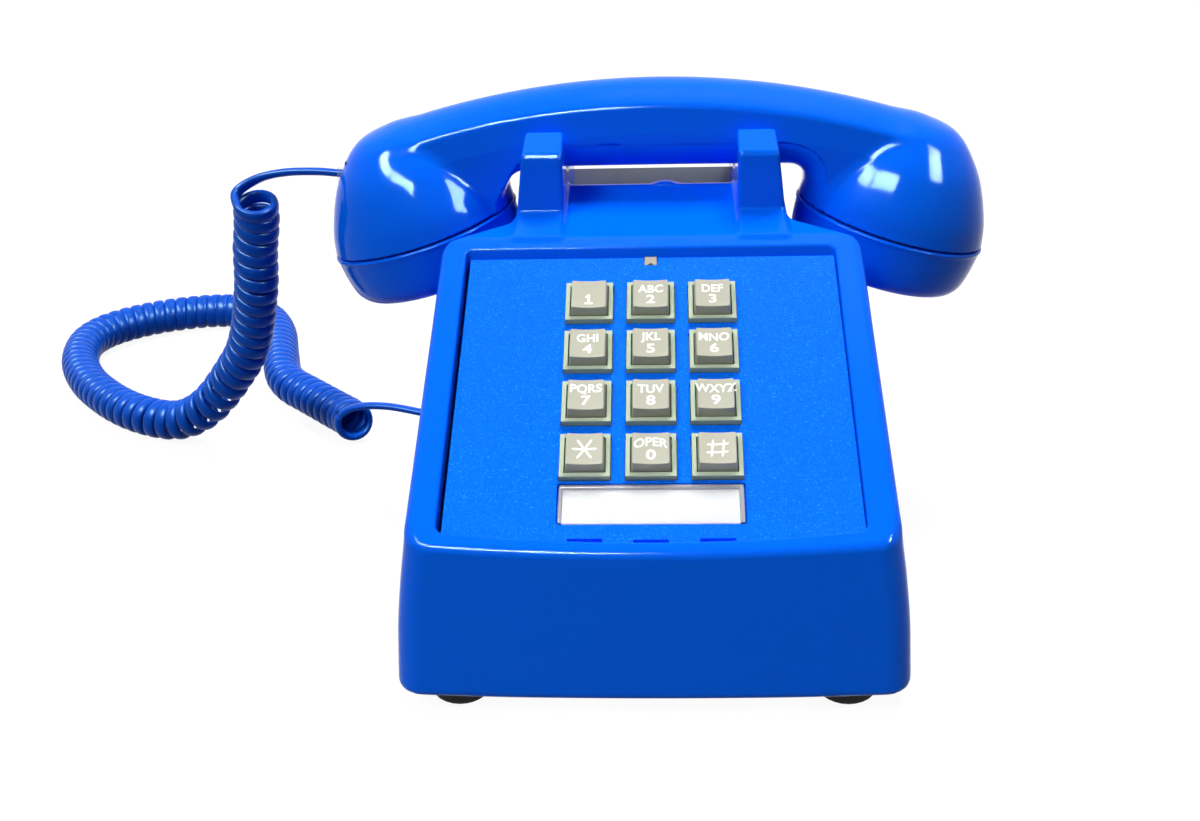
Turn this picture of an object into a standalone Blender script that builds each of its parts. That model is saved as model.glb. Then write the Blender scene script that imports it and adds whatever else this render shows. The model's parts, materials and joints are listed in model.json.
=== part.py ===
"""Push-button desk telephone: a sloping housing with a four-eared cradle, a twelve-button keypad,
a two-gong ringer, a lift-off handset and its curly cord.

Metres, +Z up, +Y to the back. The origin is on the table, below the middle of the telephone.
"""
import math

import bmesh
import bpy
from mathutils import Matrix, Vector

MM = 0.001

# ---------------------------------------------------------------- driving dimensions
GAP = 0.3 * MM                  # clearance between pieces that rest on or fit round each other

# Housing
TAIL_LENGTH = 22.23 * MM        # behind the neck's rear edge
RIM_HEIGHT = 6.3 * MM           # bottom rim above the table
FRONT_HEIGHT = 49.3 * MM        # front top edge above the table
CROWN_HEIGHT = 160 * MM         # level at which the sides' draft is measured
RIM_WIDTH = 147.2 * MM          # across the bottom rim
SIDE_DRAFT = 7.6 * MM           # how much narrower it is at the level of the front top edge
WAIST_WIDTH = RIM_WIDTH - SIDE_DRAFT
CROWN_WIDTH = WAIST_WIDTH - 10.2 * MM
SIDES = [(RIM_HEIGHT, RIM_WIDTH), (26 * MM, RIM_WIDTH - 1.4 * MM), (42 * MM, WAIST_WIDTH + 2.6 * MM),
         (FRONT_HEIGHT, WAIST_WIDTH), (CROWN_HEIGHT, CROWN_WIDTH)]   # height and width
RIM_ROUND = 1.6 * MM            # rounding under the rim
WALL = 2.6 * MM                 # moulded wall
FRONT_BOW = 2.4 * MM            # how far the middle of the front stands forward of its corners
FRONT_LEAN = 0.186              # how far the front leans back for each unit of height
REAR_LEAN = 0.05
FRONT_CORNER = 8 * MM           # corner radii in plan
REAR_CORNER = 17 * MM
EDGE_ROUND = 3.2 * MM           # rounding of the housing's long edges
FACE_TILT = math.radians(31)
FACE_FRONT_MARGIN = 7.6 * MM    # sloping face's front edge to the opening
FACE_TOP_MARGIN = 6.7 * MM      # opening to the face's top edge

# Deck, neck and cradle
CREST_SETBACK = 38 * MM         # top edge of the face to the crest of the deck
CREST_RISE = 7 * MM
DECK_REAR_SETBACK = 62 * MM
DECK_REAR_RISE = -0.8 * MM
NECK_REAR_SETBACK = 85 * MM
NECK_REAR_DROP = 6.0 * MM
REAR_SLOPE = 0.50               # run for each unit of fall behind the neck
CUP_CLEARANCE = 5.16 * MM       # between the neck and the handset's cups
SHOULDER_DEPTH = 29.5 * MM      # cups' seam down to the shoulders beside the neck
FLARE_DEPTH = 4.5 * MM          # cups' seam down to where the neck starts to flare
SHOULDER_SLANT = 0.62           # plan slope of the shoulders between face and neck
CHEEK_WIDTH = 16.1 * MM         # ear's inner side to the neck's side
EAR_FRONT_SETBACK = 12.6 * MM   # top edge of the face to the front of the ears
EAR_FRONT_DROP = 17.5 * MM      # handle's top down to the ears' front edge
EAR_TOP_DROP = 13.1 * MM        # handle's top down to the ears' top
EAR_THICKNESS = 11.6 * MM
EAR_TAPER = 0.12                # how far the ear's outer side leans in for each unit of height
CREST_BUMP_X = 4.9 * MM         # a small round swell on the crest, under the handle
CREST_BUMP_RADIUS = 7.5 * MM
CREST_BUMP_RISE = 1.2 * MM
RAIL_RISE = 4.65 * MM           # steel strip across the back of the carrying gap, above the face
RAIL_DEPTH = 6.6 * MM
RAIL_THICKNESS = 1.6 * MM
RAIL_SETBACK = 69.8 * MM        # face's top edge to the strip
SADDLE_GAP = 0.5 * MM           # clearance between the cradle's saddles and the handset

# Base
PLATE_THICKNESS = 1.5 * MM
FOOT_RADIUS = 8.8 * MM
FOOT_STEM_RADIUS = 2.7 * MM
FOOT_SIDE_INSET = 17.6 * MM     # side of the rim to the feet
FRONT_FOOT_INSET = 15.5 * MM    # front edge of the housing to the front feet
REAR_FOOT_INSET = 16 * MM
BOSS_RADIUS = 4.5 * MM
SCREW_RADIUS = 1.5 * MM
SCREW_HEAD_RADIUS = 3.4 * MM

# Face plate and what sits in it
PLATE_RECESS = 2.0 * MM         # face plate below the housing's rim
FACEPLATE_THICKNESS = 2.0 * MM
FACE_SIDE_MARGIN = 9.9 * MM     # waist's side to the opening's lower corners
OPENING_TAPER = 3.0 * MM        # how much narrower the opening's upper edge is
KEYPAD_HEADROOM = 12.325 * MM   # collars to the opening's upper edge
OPENING_BOW = 3.4 * MM
FACEPLATE_CLEARANCE = 0.6 * MM
FACEPLATE_SHIFT = 0.3 * MM      # the plate sits nearer the opening's right side
LEDGE = 3.0 * MM                # width of the ledge under the face plate
KEY_PITCH = 19.05 * MM
COLLAR = 14.6 * MM              # square collar round each button
COLLAR_ABOVE_FACE = 0.0 * MM
BUTTON_BASE = 11.5 * MM
BUTTON_TOP = 10.7 * MM
BUTTON_RISE = 3.7 * MM          # button top above its collar
BUTTON_TRAVEL = 3.0 * MM
BUTTON_DISH = 0.7 * MM
CARD_WIDTH = 52.6 * MM
CARD_HEIGHT = 12.4 * MM
CARD_FROM_COLLARS = 1.825 * MM
CARD_FROM_EDGE = 3.8 * MM       # card to the opening's lower edge, at the corners
CARD_THICKNESS = 0.4 * MM
WINDOW_THICKNESS = 0.8 * MM
LATCH_WIDTH = 3.8 * MM
LATCH_HEIGHT = 3.4 * MM
NOTCH_WIDTH = 10 * MM           # finger notches at the face plate's lower edge
NOTCH_PITCH = 18.6 * MM

# Handset
HANDSET_LENGTH = 229 * MM
HANDSET_X = 1.5 * MM            # the handset lies a little to the right in its cradle
HANDSET_SETBACK = 45 * MM       # face's top edge to the handset's axis
FINGER_GAP = 5.75 * MM          # crest of the deck to the handle
HANDLE_DEPTH = 29.1 * MM        # handle's top to its underside, in the middle
HANDLE_ARCH = 290 * MM          # radius of the handle's top
HANDLE_WIDTH = 34 * MM
HANDLE_CREASE = 15 * MM         # half width at the creases beside the crown
CROWN_DROP = 6.4 * MM
GRIP_TO_CUP = 37.48 * MM        # end of the straight grip to the cup's axis
THROAT_ROUND = 8.5 * MM
CUP_RADIUS = 33.1 * MM
CUP_RISE = 36.5 * MM            # seam to the top of the cup's dome
CUP_TILT = math.radians(16)
CUP_SEAM_DROP = 49.6 * MM       # handle's top down to the middle of the seam
CAP_DEPTH = 18.3 * MM
CAP_FACE_RADIUS = 26.5 * MM
SHELL = 2.4 * MM                # wall of cups and caps

# Hook switch
PLUNGER_INSET = 8.5 * MM        # neck's side to the plungers
PLUNGER_RADIUS = 3.8 * MM
PLUNGER_TRAVEL = 7 * MM
LEVER_REACH = 23 * MM           # pivot to plungers
LEVER_DROP = 21.55 * MM         # crest of the deck down to the pivot
HUB_INSET = 9.5 * MM            # plungers to the ends of the lever's hub
LEVER_MARGIN = 4.5 * MM         # end of the hub to the lever's window, and to the end of the pin
BRACKET_SHEET = 1.6 * MM
PIVOT_RADIUS = 1.5 * MM

# Ringer
GONG_RADIUS = 20.5 * MM
GONG_HEIGHT = 12 * MM
GONG_SPACING = 51 * MM
GONG_FRONT = 45 * MM            # front rim to the gongs' axes
CLAPPER_LENGTH = 52 * MM
CLAPPER_BALL = 2.6 * MM
CLAPPER_HEIGHT = 22 * MM
COIL_LENGTH = 34 * MM
COIL_SHEET = 1.6 * MM           # the ringer frame's sheet
COIL_SETBACK = 18 * MM          # clapper's pivot to the coil's axis
CHEEK_DEPTH = 20 * MM           # the sheet cheeks that hold the coil
CHEEK_HEIGHT = 26 * MM
FRAME_MARGIN = 9 * MM           # frame beyond the gongs' axes
FRAME_SHOULDER = 20 * MM        # gongs' axes to where the frame narrows
FRAME_TAIL = 14 * MM            # frame behind the coil's axis

# Speech network
NETWORK_INSET = 14 * MM         # side of the rim to the block
NETWORK_CLEARANCE = 5.2 * MM    # block to the ringer frame
NETWORK_DEPTH = 46 * MM
NETWORK_HEIGHT = 22 * MM
TERMINAL_PITCH = 9 * MM
TERMINAL_INSET = 5 * MM

# Cords
LEAD_RADIUS = 1.5 * MM
COIL_RADIUS = 8.1 * MM          # outside of the curly part
PLUG_LENGTH = 12 * MM
PLUG_WIDTH = 7.6 * MM
PLUG_HEIGHT = 6.4 * MM
JACK_WALL = 2.2 * MM
HANDSET_JACK_DROP = 31.5 * MM   # handle's top down to the jack in the cup
BODY_JACK_HEIGHT = 16.5 * MM
BODY_JACK_SETBACK = 69 * MM     # face's top edge to the jack in the left side

# Routes of the cord, chosen by hand: x, y, z in millimetres
HANDSET_LEAD_ROUTE = [(-115.2, 45, 120.8), (-122.2, 44.8, 121.2), (-128.5, 44.6, 120.9),
                      (-133.8, 44.3, 119.9), (-138.8, 43.9, 117.9), (-142.7, 43.4, 115.3),
                      (-145.2, 43, 112.6)]
COIL_ROUTE = [(-140.1, 45, 110.3), (-141.2, 46, 101.3), (-142.8, 48, 91.4), (-144.7, 51.5, 78.9),
              (-147, 54.5, 70.1), (-149.7, 58, 60.9), (-153.2, 61.5, 51.5), (-157, 64.2, 44),
              (-162.7, 67.5, 36), (-169, 71, 27.8), (-176, 74.5, 20), (-183, 77.6, 14.2),
              (-190.5, 80.6, 10.2), (-198, 83.2, 8.7), (-207.5, 87.4, 8.5), (-218.6, 94.8, 8.5),
              (-231, 106.4, 8.5), (-245.2, 123.6, 8.5), (-257, 144.5, 8.5), (-263, 165, 8.5),
              (-262.5, 180, 8.5), (-256, 192.5, 8.5), (-242.5, 204, 8.5), (-225.3, 211.4, 8.5),
              (-209.5, 213.3, 8.5), (-196.5, 209.8, 8.5), (-185, 199.5, 8.5), (-176, 181, 8.5),
              (-168.8, 155, 8.5), (-162, 131.5, 8.5), (-155, 118.5, 8.5), (-145.9, 108.6, 8.5),
              (-136.9, 98.9, 8.5), (-127.8, 88.7, 8.5), (-120.7, 80.5, 8.5)]
BASE_LEAD_ROUTE = [(-122.3, 76.9, 14.4), (-118.6, 77.6, 16.4), (-113, 78.6, 16.9), (-105, 78, 16.7),
                   (-98, 76.5, 16.3), (-90.5, 73.8, 16), (-83.5, 71.2, 16.3)]

# Colours: base colour, roughness, metallic
PLASTIC = ((0.0, 0.14, 0.78), 0.16, 0.0)
FACE_PLASTIC = ((0.0, 0.12, 0.70), 0.42, 0.0)
CORD_PLASTIC = ((0.01, 0.07, 0.33), 0.38, 0.0)
COLLAR_PLASTIC = ((0.24, 0.31, 0.24), 0.45, 0.0)
BUTTON_PLASTIC = ((0.37, 0.36, 0.31), 0.40, 0.0)
TAN_PLASTIC = ((0.55, 0.40, 0.28), 0.45, 0.0)
CARD_PAPER = ((0.92, 0.92, 0.93), 0.7, 0.0)
CLEAR_PLASTIC = ((0.80, 0.80, 0.86), 0.08, 0.0)
BLACK_PLASTIC = ((0.02, 0.02, 0.022), 0.4, 0.0)
BLACK_RUBBER = ((0.012, 0.012, 0.012), 0.8, 0.0)
ZINC_STEEL = ((0.56, 0.56, 0.53), 0.35, 1.0)
BRASS = ((0.78, 0.57, 0.27), 0.25, 1.0)
COPPER_WIRE = ((0.62, 0.27, 0.12), 0.35, 1.0)
GREEN_BOARD = ((0.03, 0.20, 0.09), 0.45, 0.0)

# ---------------------------------------------------------------- values that follow from them
OPENING_BOTTOM_WIDTH = WAIST_WIDTH - 2 * FACE_SIDE_MARGIN
OPENING_TOP_WIDTH = OPENING_BOTTOM_WIDTH - OPENING_TAPER
KEYPAD_HALF = 1.5 * KEY_PITCH + COLLAR / 2
OPENING_TOP = KEYPAD_HALF + KEYPAD_HEADROOM        # above the keypad's middle, along the face
OPENING_BOTTOM = KEYPAD_HALF + CARD_FROM_COLLARS + CARD_HEIGHT + CARD_FROM_EDGE
CARD_BELOW_KEYPAD = KEYPAD_HALF + CARD_FROM_COLLARS + CARD_HEIGHT / 2
KEYPAD_FROM_FRONT = FACE_FRONT_MARGIN + OPENING_BOTTOM
FACE_LENGTH = KEYPAD_FROM_FRONT + OPENING_TOP + FACE_TOP_MARGIN
FRONT_SETBACK = FRONT_LEAN * (FRONT_HEIGHT - RIM_HEIGHT)
BODY_LENGTH = FRONT_SETBACK + FACE_LENGTH * math.cos(FACE_TILT) + NECK_REAR_SETBACK + TAIL_LENGTH
FRONT_Y = -BODY_LENGTH / 2
REAR_Y = BODY_LENGTH / 2
FACE_FRONT_Y = FRONT_Y + FRONT_SETBACK
SLOPE = Vector((0, math.cos(FACE_TILT), math.sin(FACE_TILT)))
KEYPAD_CENTRE = Vector((0, FACE_FRONT_Y, FRONT_HEIGHT)) + KEYPAD_FROM_FRONT * SLOPE
FACE_TOP = Vector((0, FACE_FRONT_Y, FRONT_HEIGHT)) + FACE_LENGTH * SLOPE
CREST_HEIGHT = FACE_TOP.z + CREST_RISE
HANDSET_Y = FACE_TOP.y + HANDSET_SETBACK
PLATE_BOTTOM = RIM_HEIGHT + 0.5 * MM
PLATE_TOP = PLATE_BOTTOM + PLATE_THICKNESS
FACEPLATE_BACK = -PLATE_RECESS - FACEPLATE_THICKNESS
BEZEL_TOP = FACEPLATE_BACK - GAP
BEZEL_THICKNESS = 2.2 * MM
BEZEL_BACK = BEZEL_TOP - BEZEL_THICKNESS
FLANGE_TOP = BEZEL_BACK - GAP
FLANGE_THICKNESS = 1.5 * MM
CHASSIS_DEPTH = FLANGE_THICKNESS + BUTTON_TRAVEL + 4.0 * MM
BOARD_TOP = BEZEL_BACK - CHASSIS_DEPTH - 2 * GAP
STEM_BOTTOM = BOARD_TOP + BUTTON_TRAVEL + 1.4 * MM
KEY_NAMES = [["button_1", "button_2", "button_3"], ["button_4", "button_5", "button_6"],
             ["button_7", "button_8", "button_9"], ["button_star", "button_0", "button_pound"]]
KEYPAD_WIDTH = 2 * KEY_PITCH + COLLAR + 6 * MM
KEYPAD_HEIGHT = 3 * KEY_PITCH + COLLAR + 4 * MM
HANDLE_BOTTOM = CREST_HEIGHT + FINGER_GAP
HANDLE_TOP = HANDLE_BOTTOM + HANDLE_DEPTH
CUP_REACH = CUP_RADIUS * math.cos(CUP_TILT)
CUP_X = HANDSET_LENGTH / 2 - CUP_REACH - 1.2 * MM
CUP_SEAM_HEIGHT = HANDLE_TOP - CUP_SEAM_DROP
THROAT_HALF = CUP_X - GRIP_TO_CUP
NECK_WIDTH = 2 * (CUP_X - CUP_REACH - CUP_CLEARANCE)
SHOULDER_HEIGHT = CUP_SEAM_HEIGHT - SHOULDER_DEPTH
FLARE_START = CUP_SEAM_HEIGHT - FLARE_DEPTH
EAR_INNER = NECK_WIDTH / 2 - CHEEK_WIDTH           # half the gap between the left and right ears
EAR_FRONT_HEIGHT = HANDLE_TOP - EAR_FRONT_DROP
EAR_TOP_HEIGHT = HANDLE_TOP - EAR_TOP_DROP
RAIL_TOP = FACE_TOP.z + RAIL_RISE
PLUNGER_X = NECK_WIDTH / 2 - PLUNGER_INSET
LEVER_HEIGHT = CREST_HEIGHT - LEVER_DROP           # the lever's pivot above the table
SADDLE_TOP = HANDLE_BOTTOM - SADDLE_GAP
AXIS_YZX = Matrix(((0, 0, 1, 0), (1, 0, 0, 0), (0, 1, 0, 0), (0, 0, 0, 1)))   # outline in y, z


# ---------------------------------------------------------------- modelling helpers
def clear_scene():
    for old in list(bpy.data.objects):
        bpy.data.objects.remove(old, do_unlink=True)


def new_collection(name):
    collection = bpy.data.collections.new(name)
    bpy.context.scene.collection.children.link(collection)
    return collection


def finish_material(name, look):
    colour, roughness, metallic = look
    material = bpy.data.materials.new(name)
    material.use_nodes = True
    shader = material.node_tree.nodes["Principled BSDF"]
    shader.inputs["Base Color"].default_value = (*colour, 1)
    shader.inputs["Roughness"].default_value = roughness
    shader.inputs["Metallic"].default_value = metallic
    material.diffuse_color = (*colour, 1)
    return material


def add_part(obj, look):
    """Keep an object as a named piece, with a finish of its own."""
    PARTS.objects.link(obj)
    obj.data.materials.clear()
    obj.data.materials.append(finish_material(obj.name, look))
    return obj


def add_tool(obj):
    """Keep an object only as an operand of other pieces' modifiers."""
    TOOLS.objects.link(obj)
    obj.hide_render = True
    obj.display_type = "WIRE"
    return obj


def place(obj, location=(0, 0, 0), rotation=(0, 0, 0), parent=None):
    obj.location = location
    obj.rotation_euler = rotation
    obj.parent = parent
    return obj


def mesh_object(name, build, smooth=True):
    """Make an object whose mesh the function build fills in."""
    mesh = bpy.data.meshes.new(name)
    bm = bmesh.new()
    build(bm)
    bmesh.ops.recalc_face_normals(bm, faces=bm.faces)
    bm.to_mesh(mesh)
    bm.free()
    if smooth:
        mesh.shade_smooth()
        mesh.set_sharp_from_angle(angle=math.radians(35))
    return bpy.data.objects.new(name, mesh)


def block(name, size, centre=(0, 0, 0)):
    """A box with its middle at centre."""
    def build(bm):
        bmesh.ops.create_cube(bm, size=1)
        bmesh.ops.scale(bm, vec=size, verts=bm.verts)
        bmesh.ops.translate(bm, vec=centre, verts=bm.verts)
    return mesh_object(name, build, smooth=False)


def rod(name, radius, start, end, segments=20, end_radius=None):
    """A round bar or cone between two points."""
    start, end = Vector(start), Vector(end)
    turn = (end - start).to_track_quat("Z", "Y").to_matrix().to_4x4()

    def build(bm):
        bmesh.ops.create_cone(bm, cap_ends=True, segments=segments, radius1=radius,
                              radius2=radius if end_radius is None else end_radius,
                              depth=(end - start).length)
        bmesh.ops.transform(bm, matrix=Matrix.Translation((start + end) / 2) @ turn, verts=bm.verts)
    return mesh_object(name, build)


def as_mesh(curve_object):
    """Swap a curve object for the same shape as one closed mesh."""
    name = curve_object.name
    bpy.context.scene.collection.objects.link(curve_object)
    evaluated = curve_object.evaluated_get(bpy.context.evaluated_depsgraph_get())
    mesh = bpy.data.meshes.new_from_object(evaluated)
    bm = bmesh.new()
    bm.from_mesh(mesh)
    bmesh.ops.remove_doubles(bm, verts=bm.verts, dist=0.001 * MM)
    bmesh.ops.recalc_face_normals(bm, faces=bm.faces)
    bm.to_mesh(mesh)
    bm.free()
    bpy.data.objects.remove(curve_object, do_unlink=True)
    mesh.name = name
    return bpy.data.objects.new(name, mesh)


def plate(name, outline, thickness, turn=Matrix(), centre=(0, 0, 0)):
    """A flat outline, thickened evenly to both sides, then turned and moved."""
    curve = bpy.data.curves.new(name, "CURVE")
    curve.dimensions = "2D"
    curve.fill_mode = "BOTH"
    curve.extrude = thickness / 2
    spline = curve.splines.new("POLY")
    spline.points.add(len(outline) - 1)
    for point, (x, y) in zip(spline.points, outline):
        point.co = (x, y, 0, 1)
    spline.use_cyclic_u = True
    obj = as_mesh(bpy.data.objects.new(name, curve))
    obj.data.transform(Matrix.Translation(centre) @ turn)
    return obj


def tube(name, points, radius, sides=2):
    """A round cord or wire through the points."""
    curve = bpy.data.curves.new(name, "CURVE")
    curve.dimensions = "3D"
    curve.bevel_depth = radius
    curve.bevel_resolution = sides
    curve.use_fill_caps = True
    spline = curve.splines.new("POLY")
    spline.points.add(len(points) - 1)
    for point, position in zip(spline.points, points):
        point.co = (*position, 1)
    return as_mesh(bpy.data.objects.new(name, curve))


def loft(name, rings):
    """Skin closed rings with equal numbers of points, and cap both ends."""
    def build(bm):
        grid = [[bm.verts.new(point) for point in ring] for ring in rings]
        for lower, upper in zip(grid, grid[1:]):
            for i in range(len(lower)):
                j = (i + 1) % len(lower)
                bm.faces.new((lower[i], lower[j], upper[j], upper[i]))
        bm.faces.new(reversed(grid[0]))
        bm.faces.new(grid[-1])
    return mesh_object(name, build)


def turned(name, profile, steps=32, closed=False, smooth=True):
    """A turned piece. The profile is radius and height, down its outer side."""
    mesh = bpy.data.meshes.new(name)
    edges = [(i, i + 1) for i in range(len(profile) - 1)]
    if closed:
        edges.append((len(profile) - 1, 0))
    mesh.from_pydata([(radius, 0, height) for radius, height in profile], edges, [])
    obj = bpy.data.objects.new(name, mesh)
    screw = obj.modifiers.new("turn", "SCREW")
    screw.steps = steps
    screw.render_steps = steps
    screw.use_merge_vertices = True
    screw.merge_threshold = 0.01 * MM
    screw.use_smooth_shade = smooth
    return obj


def combine(obj, operation, other, solver="EXACT"):
    modifier = obj.modifiers.new(f"{operation.lower()}_{other.name}", "BOOLEAN")
    modifier.operation = operation
    modifier.solver = solver
    modifier.object = add_tool(other) if other.name not in TOOLS.objects else other
    return obj


def cut(obj, *others):
    for other in others:
        combine(obj, "DIFFERENCE", other)
    return obj


def join(obj, *others):
    for other in others:
        combine(obj, "UNION", other)
    return obj


def bevel(obj, width, segments=2, angle=40):
    modifier = obj.modifiers.new("rounding", "BEVEL")
    modifier.width = width
    modifier.segments = segments
    modifier.limit_method = "ANGLE"
    modifier.angle_limit = math.radians(angle)
    return obj


def mirror_across_x(obj):
    """Repeat the object on the other side of the middle plane."""
    modifier = obj.modifiers.new("other_side", "MIRROR")
    modifier.use_mirror_merge = False
    modifier.merge_threshold = 0.01 * MM
    return obj


def arc(centre, radius, start, end, steps):
    """Points on an arc; the angles are in degrees."""
    angles = [math.radians(start + (end - start) * i / steps) for i in range(steps + 1)]
    return [(centre[0] + radius * math.cos(a), centre[1] + radius * math.sin(a)) for a in angles]


def rounded_box_outline(width, height, radius, steps=3):
    x, y = width / 2 - radius, height / 2 - radius
    return (arc((x, -y), radius, -90, 0, steps) + arc((x, y), radius, 0, 90, steps)
            + arc((-x, y), radius, 90, 180, steps) + arc((-x, -y), radius, 180, 270, steps))


def smooth_route(points, spacing):
    """Read evenly spaced points from a smooth curve through the route's points."""
    route = [Vector(point) * MM for point in points]
    ends = [2 * route[0] - route[1]] + route + [2 * route[-1] - route[-2]]
    fine = []
    for before, a, b, after in zip(ends, ends[1:], ends[2:], ends[3:]):
        for i in range(24):
            t = i / 24
            fine.append(0.5 * (2 * a + (b - before) * t + (2 * before - 5 * a + 4 * b - after) * t * t
                               + (3 * a - 3 * b + after - before) * t ** 3))
    fine.append(route[-1])
    lengths = [0]
    for a, b in zip(fine, fine[1:]):
        lengths.append(lengths[-1] + (b - a).length)
    count = max(2, round(lengths[-1] / spacing))
    result, k = [], 0
    for i in range(count + 1):
        target = lengths[-1] * i / count
        while k < len(fine) - 2 and lengths[k + 1] < target:
            k += 1
        share = (target - lengths[k]) / (lengths[k + 1] - lengths[k])
        result.append(fine[k].lerp(fine[k + 1], share))
    return result


# ---------------------------------------------------------------- housing
def plan_outline(half_width, front, rear, inset):
    """The housing in plan: a bowed front, straight sides and rounded corners."""
    half, front, rear = half_width - inset, front + inset, rear - inset
    front_r, rear_r = FRONT_CORNER - inset, REAR_CORNER - inset
    flat = half - front_r
    bow = [(flat * i / 4, front + FRONT_BOW * (flat * i / 4 / half) ** 2) for i in range(-3, 4)]
    corner_y = front + FRONT_BOW * (flat / half) ** 2 + front_r
    right = arc((flat, corner_y), front_r, -90, 0, 4) + arc((half - rear_r, rear - rear_r), rear_r, 0, 90, 5)
    left = [(-x, y) for x, y in reversed(right)]
    return bow + right + left


def body_width(height):
    """Read the housing's width at one height from the table of the sides."""
    for (low, lower), (high, upper) in zip(SIDES, SIDES[1:]):
        if height <= high:
            return lower + (upper - lower) * max(0, height - low) / (high - low)
    return SIDES[-1][1]


def plan_ring(height, inset):
    """The housing's outline at one height, drafted in as it rises."""
    width = body_width(height)
    front = FRONT_Y + FRONT_LEAN * (height - RIM_HEIGHT)
    rear = REAR_Y - REAR_LEAN * (height - RIM_HEIGHT)
    return [(x, y, height) for x, y in plan_outline(width / 2, front, rear, inset)]


def side_outline(bottom):
    """The housing from the side: sloping face, deck and rear slope, drawn past the front and rear."""
    spare = 12 * MM
    front = FACE_FRONT_Y - spare
    neck_rear = (FACE_TOP.y + NECK_REAR_SETBACK, FACE_TOP.z - NECK_REAR_DROP)
    foot_z = RIM_HEIGHT + 30 * MM
    foot = (neck_rear[0] + REAR_SLOPE * (neck_rear[1] - foot_z), foot_z)
    return [(front, bottom),
            (REAR_Y + spare, bottom),
            (REAR_Y + spare, foot_z),
            foot,
            neck_rear,
            (FACE_TOP.y + DECK_REAR_SETBACK, FACE_TOP.z + DECK_REAR_RISE),
            (FACE_TOP.y + CREST_SETBACK + 5 * MM, CREST_HEIGHT - 1.3 * MM),
            (FACE_TOP.y + CREST_SETBACK, CREST_HEIGHT),
            (FACE_TOP.y, FACE_TOP.z),
            (front, FRONT_HEIGHT - spare * math.tan(FACE_TILT))]


def offset_outline(points, distance):
    """Move each side of a counterclockwise outline outwards by the distance."""
    result = []
    for before, here, after in zip(points[-1:] + points[:-1], points, points[1:] + points[:1]):
        first = Vector((here[0] - before[0], here[1] - before[1])).normalized()
        second = Vector((after[0] - here[0], after[1] - here[1])).normalized()
        normal = Vector((first.y + second.y, -first.x - second.x)).normalized()
        reach = distance / max(0.3, normal.dot(Vector((first.y, -first.x))))
        result.append((here[0] + normal.x * reach, here[1] + normal.y * reach))
    return result


def neck_half_width(height):
    """Half the neck's width: upright at the top, flaring in a quarter arc to the shoulders."""
    top = NECK_WIDTH / 2
    if height >= FLARE_START:
        return top
    reach = WAIST_WIDTH / 2 + 6 * MM - top
    share = (FLARE_START - height) / (FLARE_START - SHOULDER_HEIGHT)
    return top + reach * (1 - math.sqrt(max(0, 1 - share ** 2)))


def scoop(name, grow):
    """The space beside the neck, under one handset cup; its front end follows the shoulder."""
    heights = [FLARE_START - (FLARE_START - SHOULDER_HEIGHT) * math.sin(math.radians(a))
               for a in (0, 18, 36, 52, 66, 78, 90)]
    outer, top = WAIST_WIDTH, CROWN_HEIGHT
    outline = [(outer, SHOULDER_HEIGHT), (outer, top), (NECK_WIDTH / 2, top)]
    outline += [(neck_half_width(height), height) for height in heights]
    outline = offset_outline(outline, grow)
    front = FACE_TOP.y + EAR_FRONT_SETBACK - grow
    rings = []
    for slant, y in ((SHOULDER_SLANT, front), (0, REAR_Y + 20 * MM)):
        rings.append([(x, y - slant * (x - NECK_WIDTH / 2), z) for x, z in outline])
    return mirror_across_x(loft(name, rings))


def housing_form(name, inset):
    """The housing's main form. The inset makes the same form, smaller by a wall, for its hollow."""
    bottom = RIM_HEIGHT if inset == 0 else RIM_HEIGHT - 2 * MM
    outline = offset_outline(side_outline(bottom - inset if inset else bottom), -inset)
    form = plate(name, outline, 2 * RIM_WIDTH, AXIS_YZX)
    if inset:
        rings = [plan_ring(RIM_HEIGHT - 3 * MM, inset)]
    else:
        rings = [plan_ring(RIM_HEIGHT, RIM_ROUND), plan_ring(RIM_HEIGHT + 0.4 * RIM_ROUND, 0.3 * RIM_ROUND),
                 plan_ring(RIM_HEIGHT + RIM_ROUND, 0)]
    rings += [plan_ring(height, inset) for height, _ in SIDES[1:]]
    combine(form, "INTERSECT", loft(f"{name}_plan", rings))
    if not inset:
        bevel(form, EDGE_ROUND, 2, 28)
    cut(form, scoop(f"{name}_scoops", inset))
    return form


def cradle_cheek(name, side):
    """One side of the cradle: a front ear, a saddle that follows the handle, and a rear ear."""
    front = FACE_TOP.y + EAR_FRONT_SETBACK
    middle = HANDSET_Y
    foot = FACE_TOP.z - NECK_REAR_DROP - WALL
    half_saddle = HANDLE_WIDTH / 2 + SADDLE_GAP
    lip = HANDLE_TOP - 18.5 * MM
    front_half = [(front, foot), (front, EAR_FRONT_HEIGHT), (front + EAR_THICKNESS, EAR_TOP_HEIGHT),
                  (middle - half_saddle - 0.4 * MM, lip),
                  (middle - 0.80 * half_saddle, SADDLE_TOP + 4.6 * MM),
                  (middle - 0.42 * half_saddle, SADDLE_TOP + 0.9 * MM), (middle - 3 * MM, SADDLE_TOP)]
    rear_half = [(2 * middle - y, z) for y, z in reversed(front_half)]
    width = NECK_WIDTH / 2 - EAR_INNER
    cheek = plate(name, list(reversed(front_half + rear_half)), width, AXIS_YZX,
                  (EAR_INNER + width / 2, 0, 0))
    for vertex in cheek.data.vertices:
        if vertex.co.x > EAR_INNER + width / 2:
            vertex.co.x -= EAR_TAPER * max(0, vertex.co.z - FACE_TOP.z)
    if side < 0:
        cheek.data.transform(Matrix.Scale(-1, 4, (1, 0, 0)))
        cheek.data.flip_normals()
    return cheek


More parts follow.
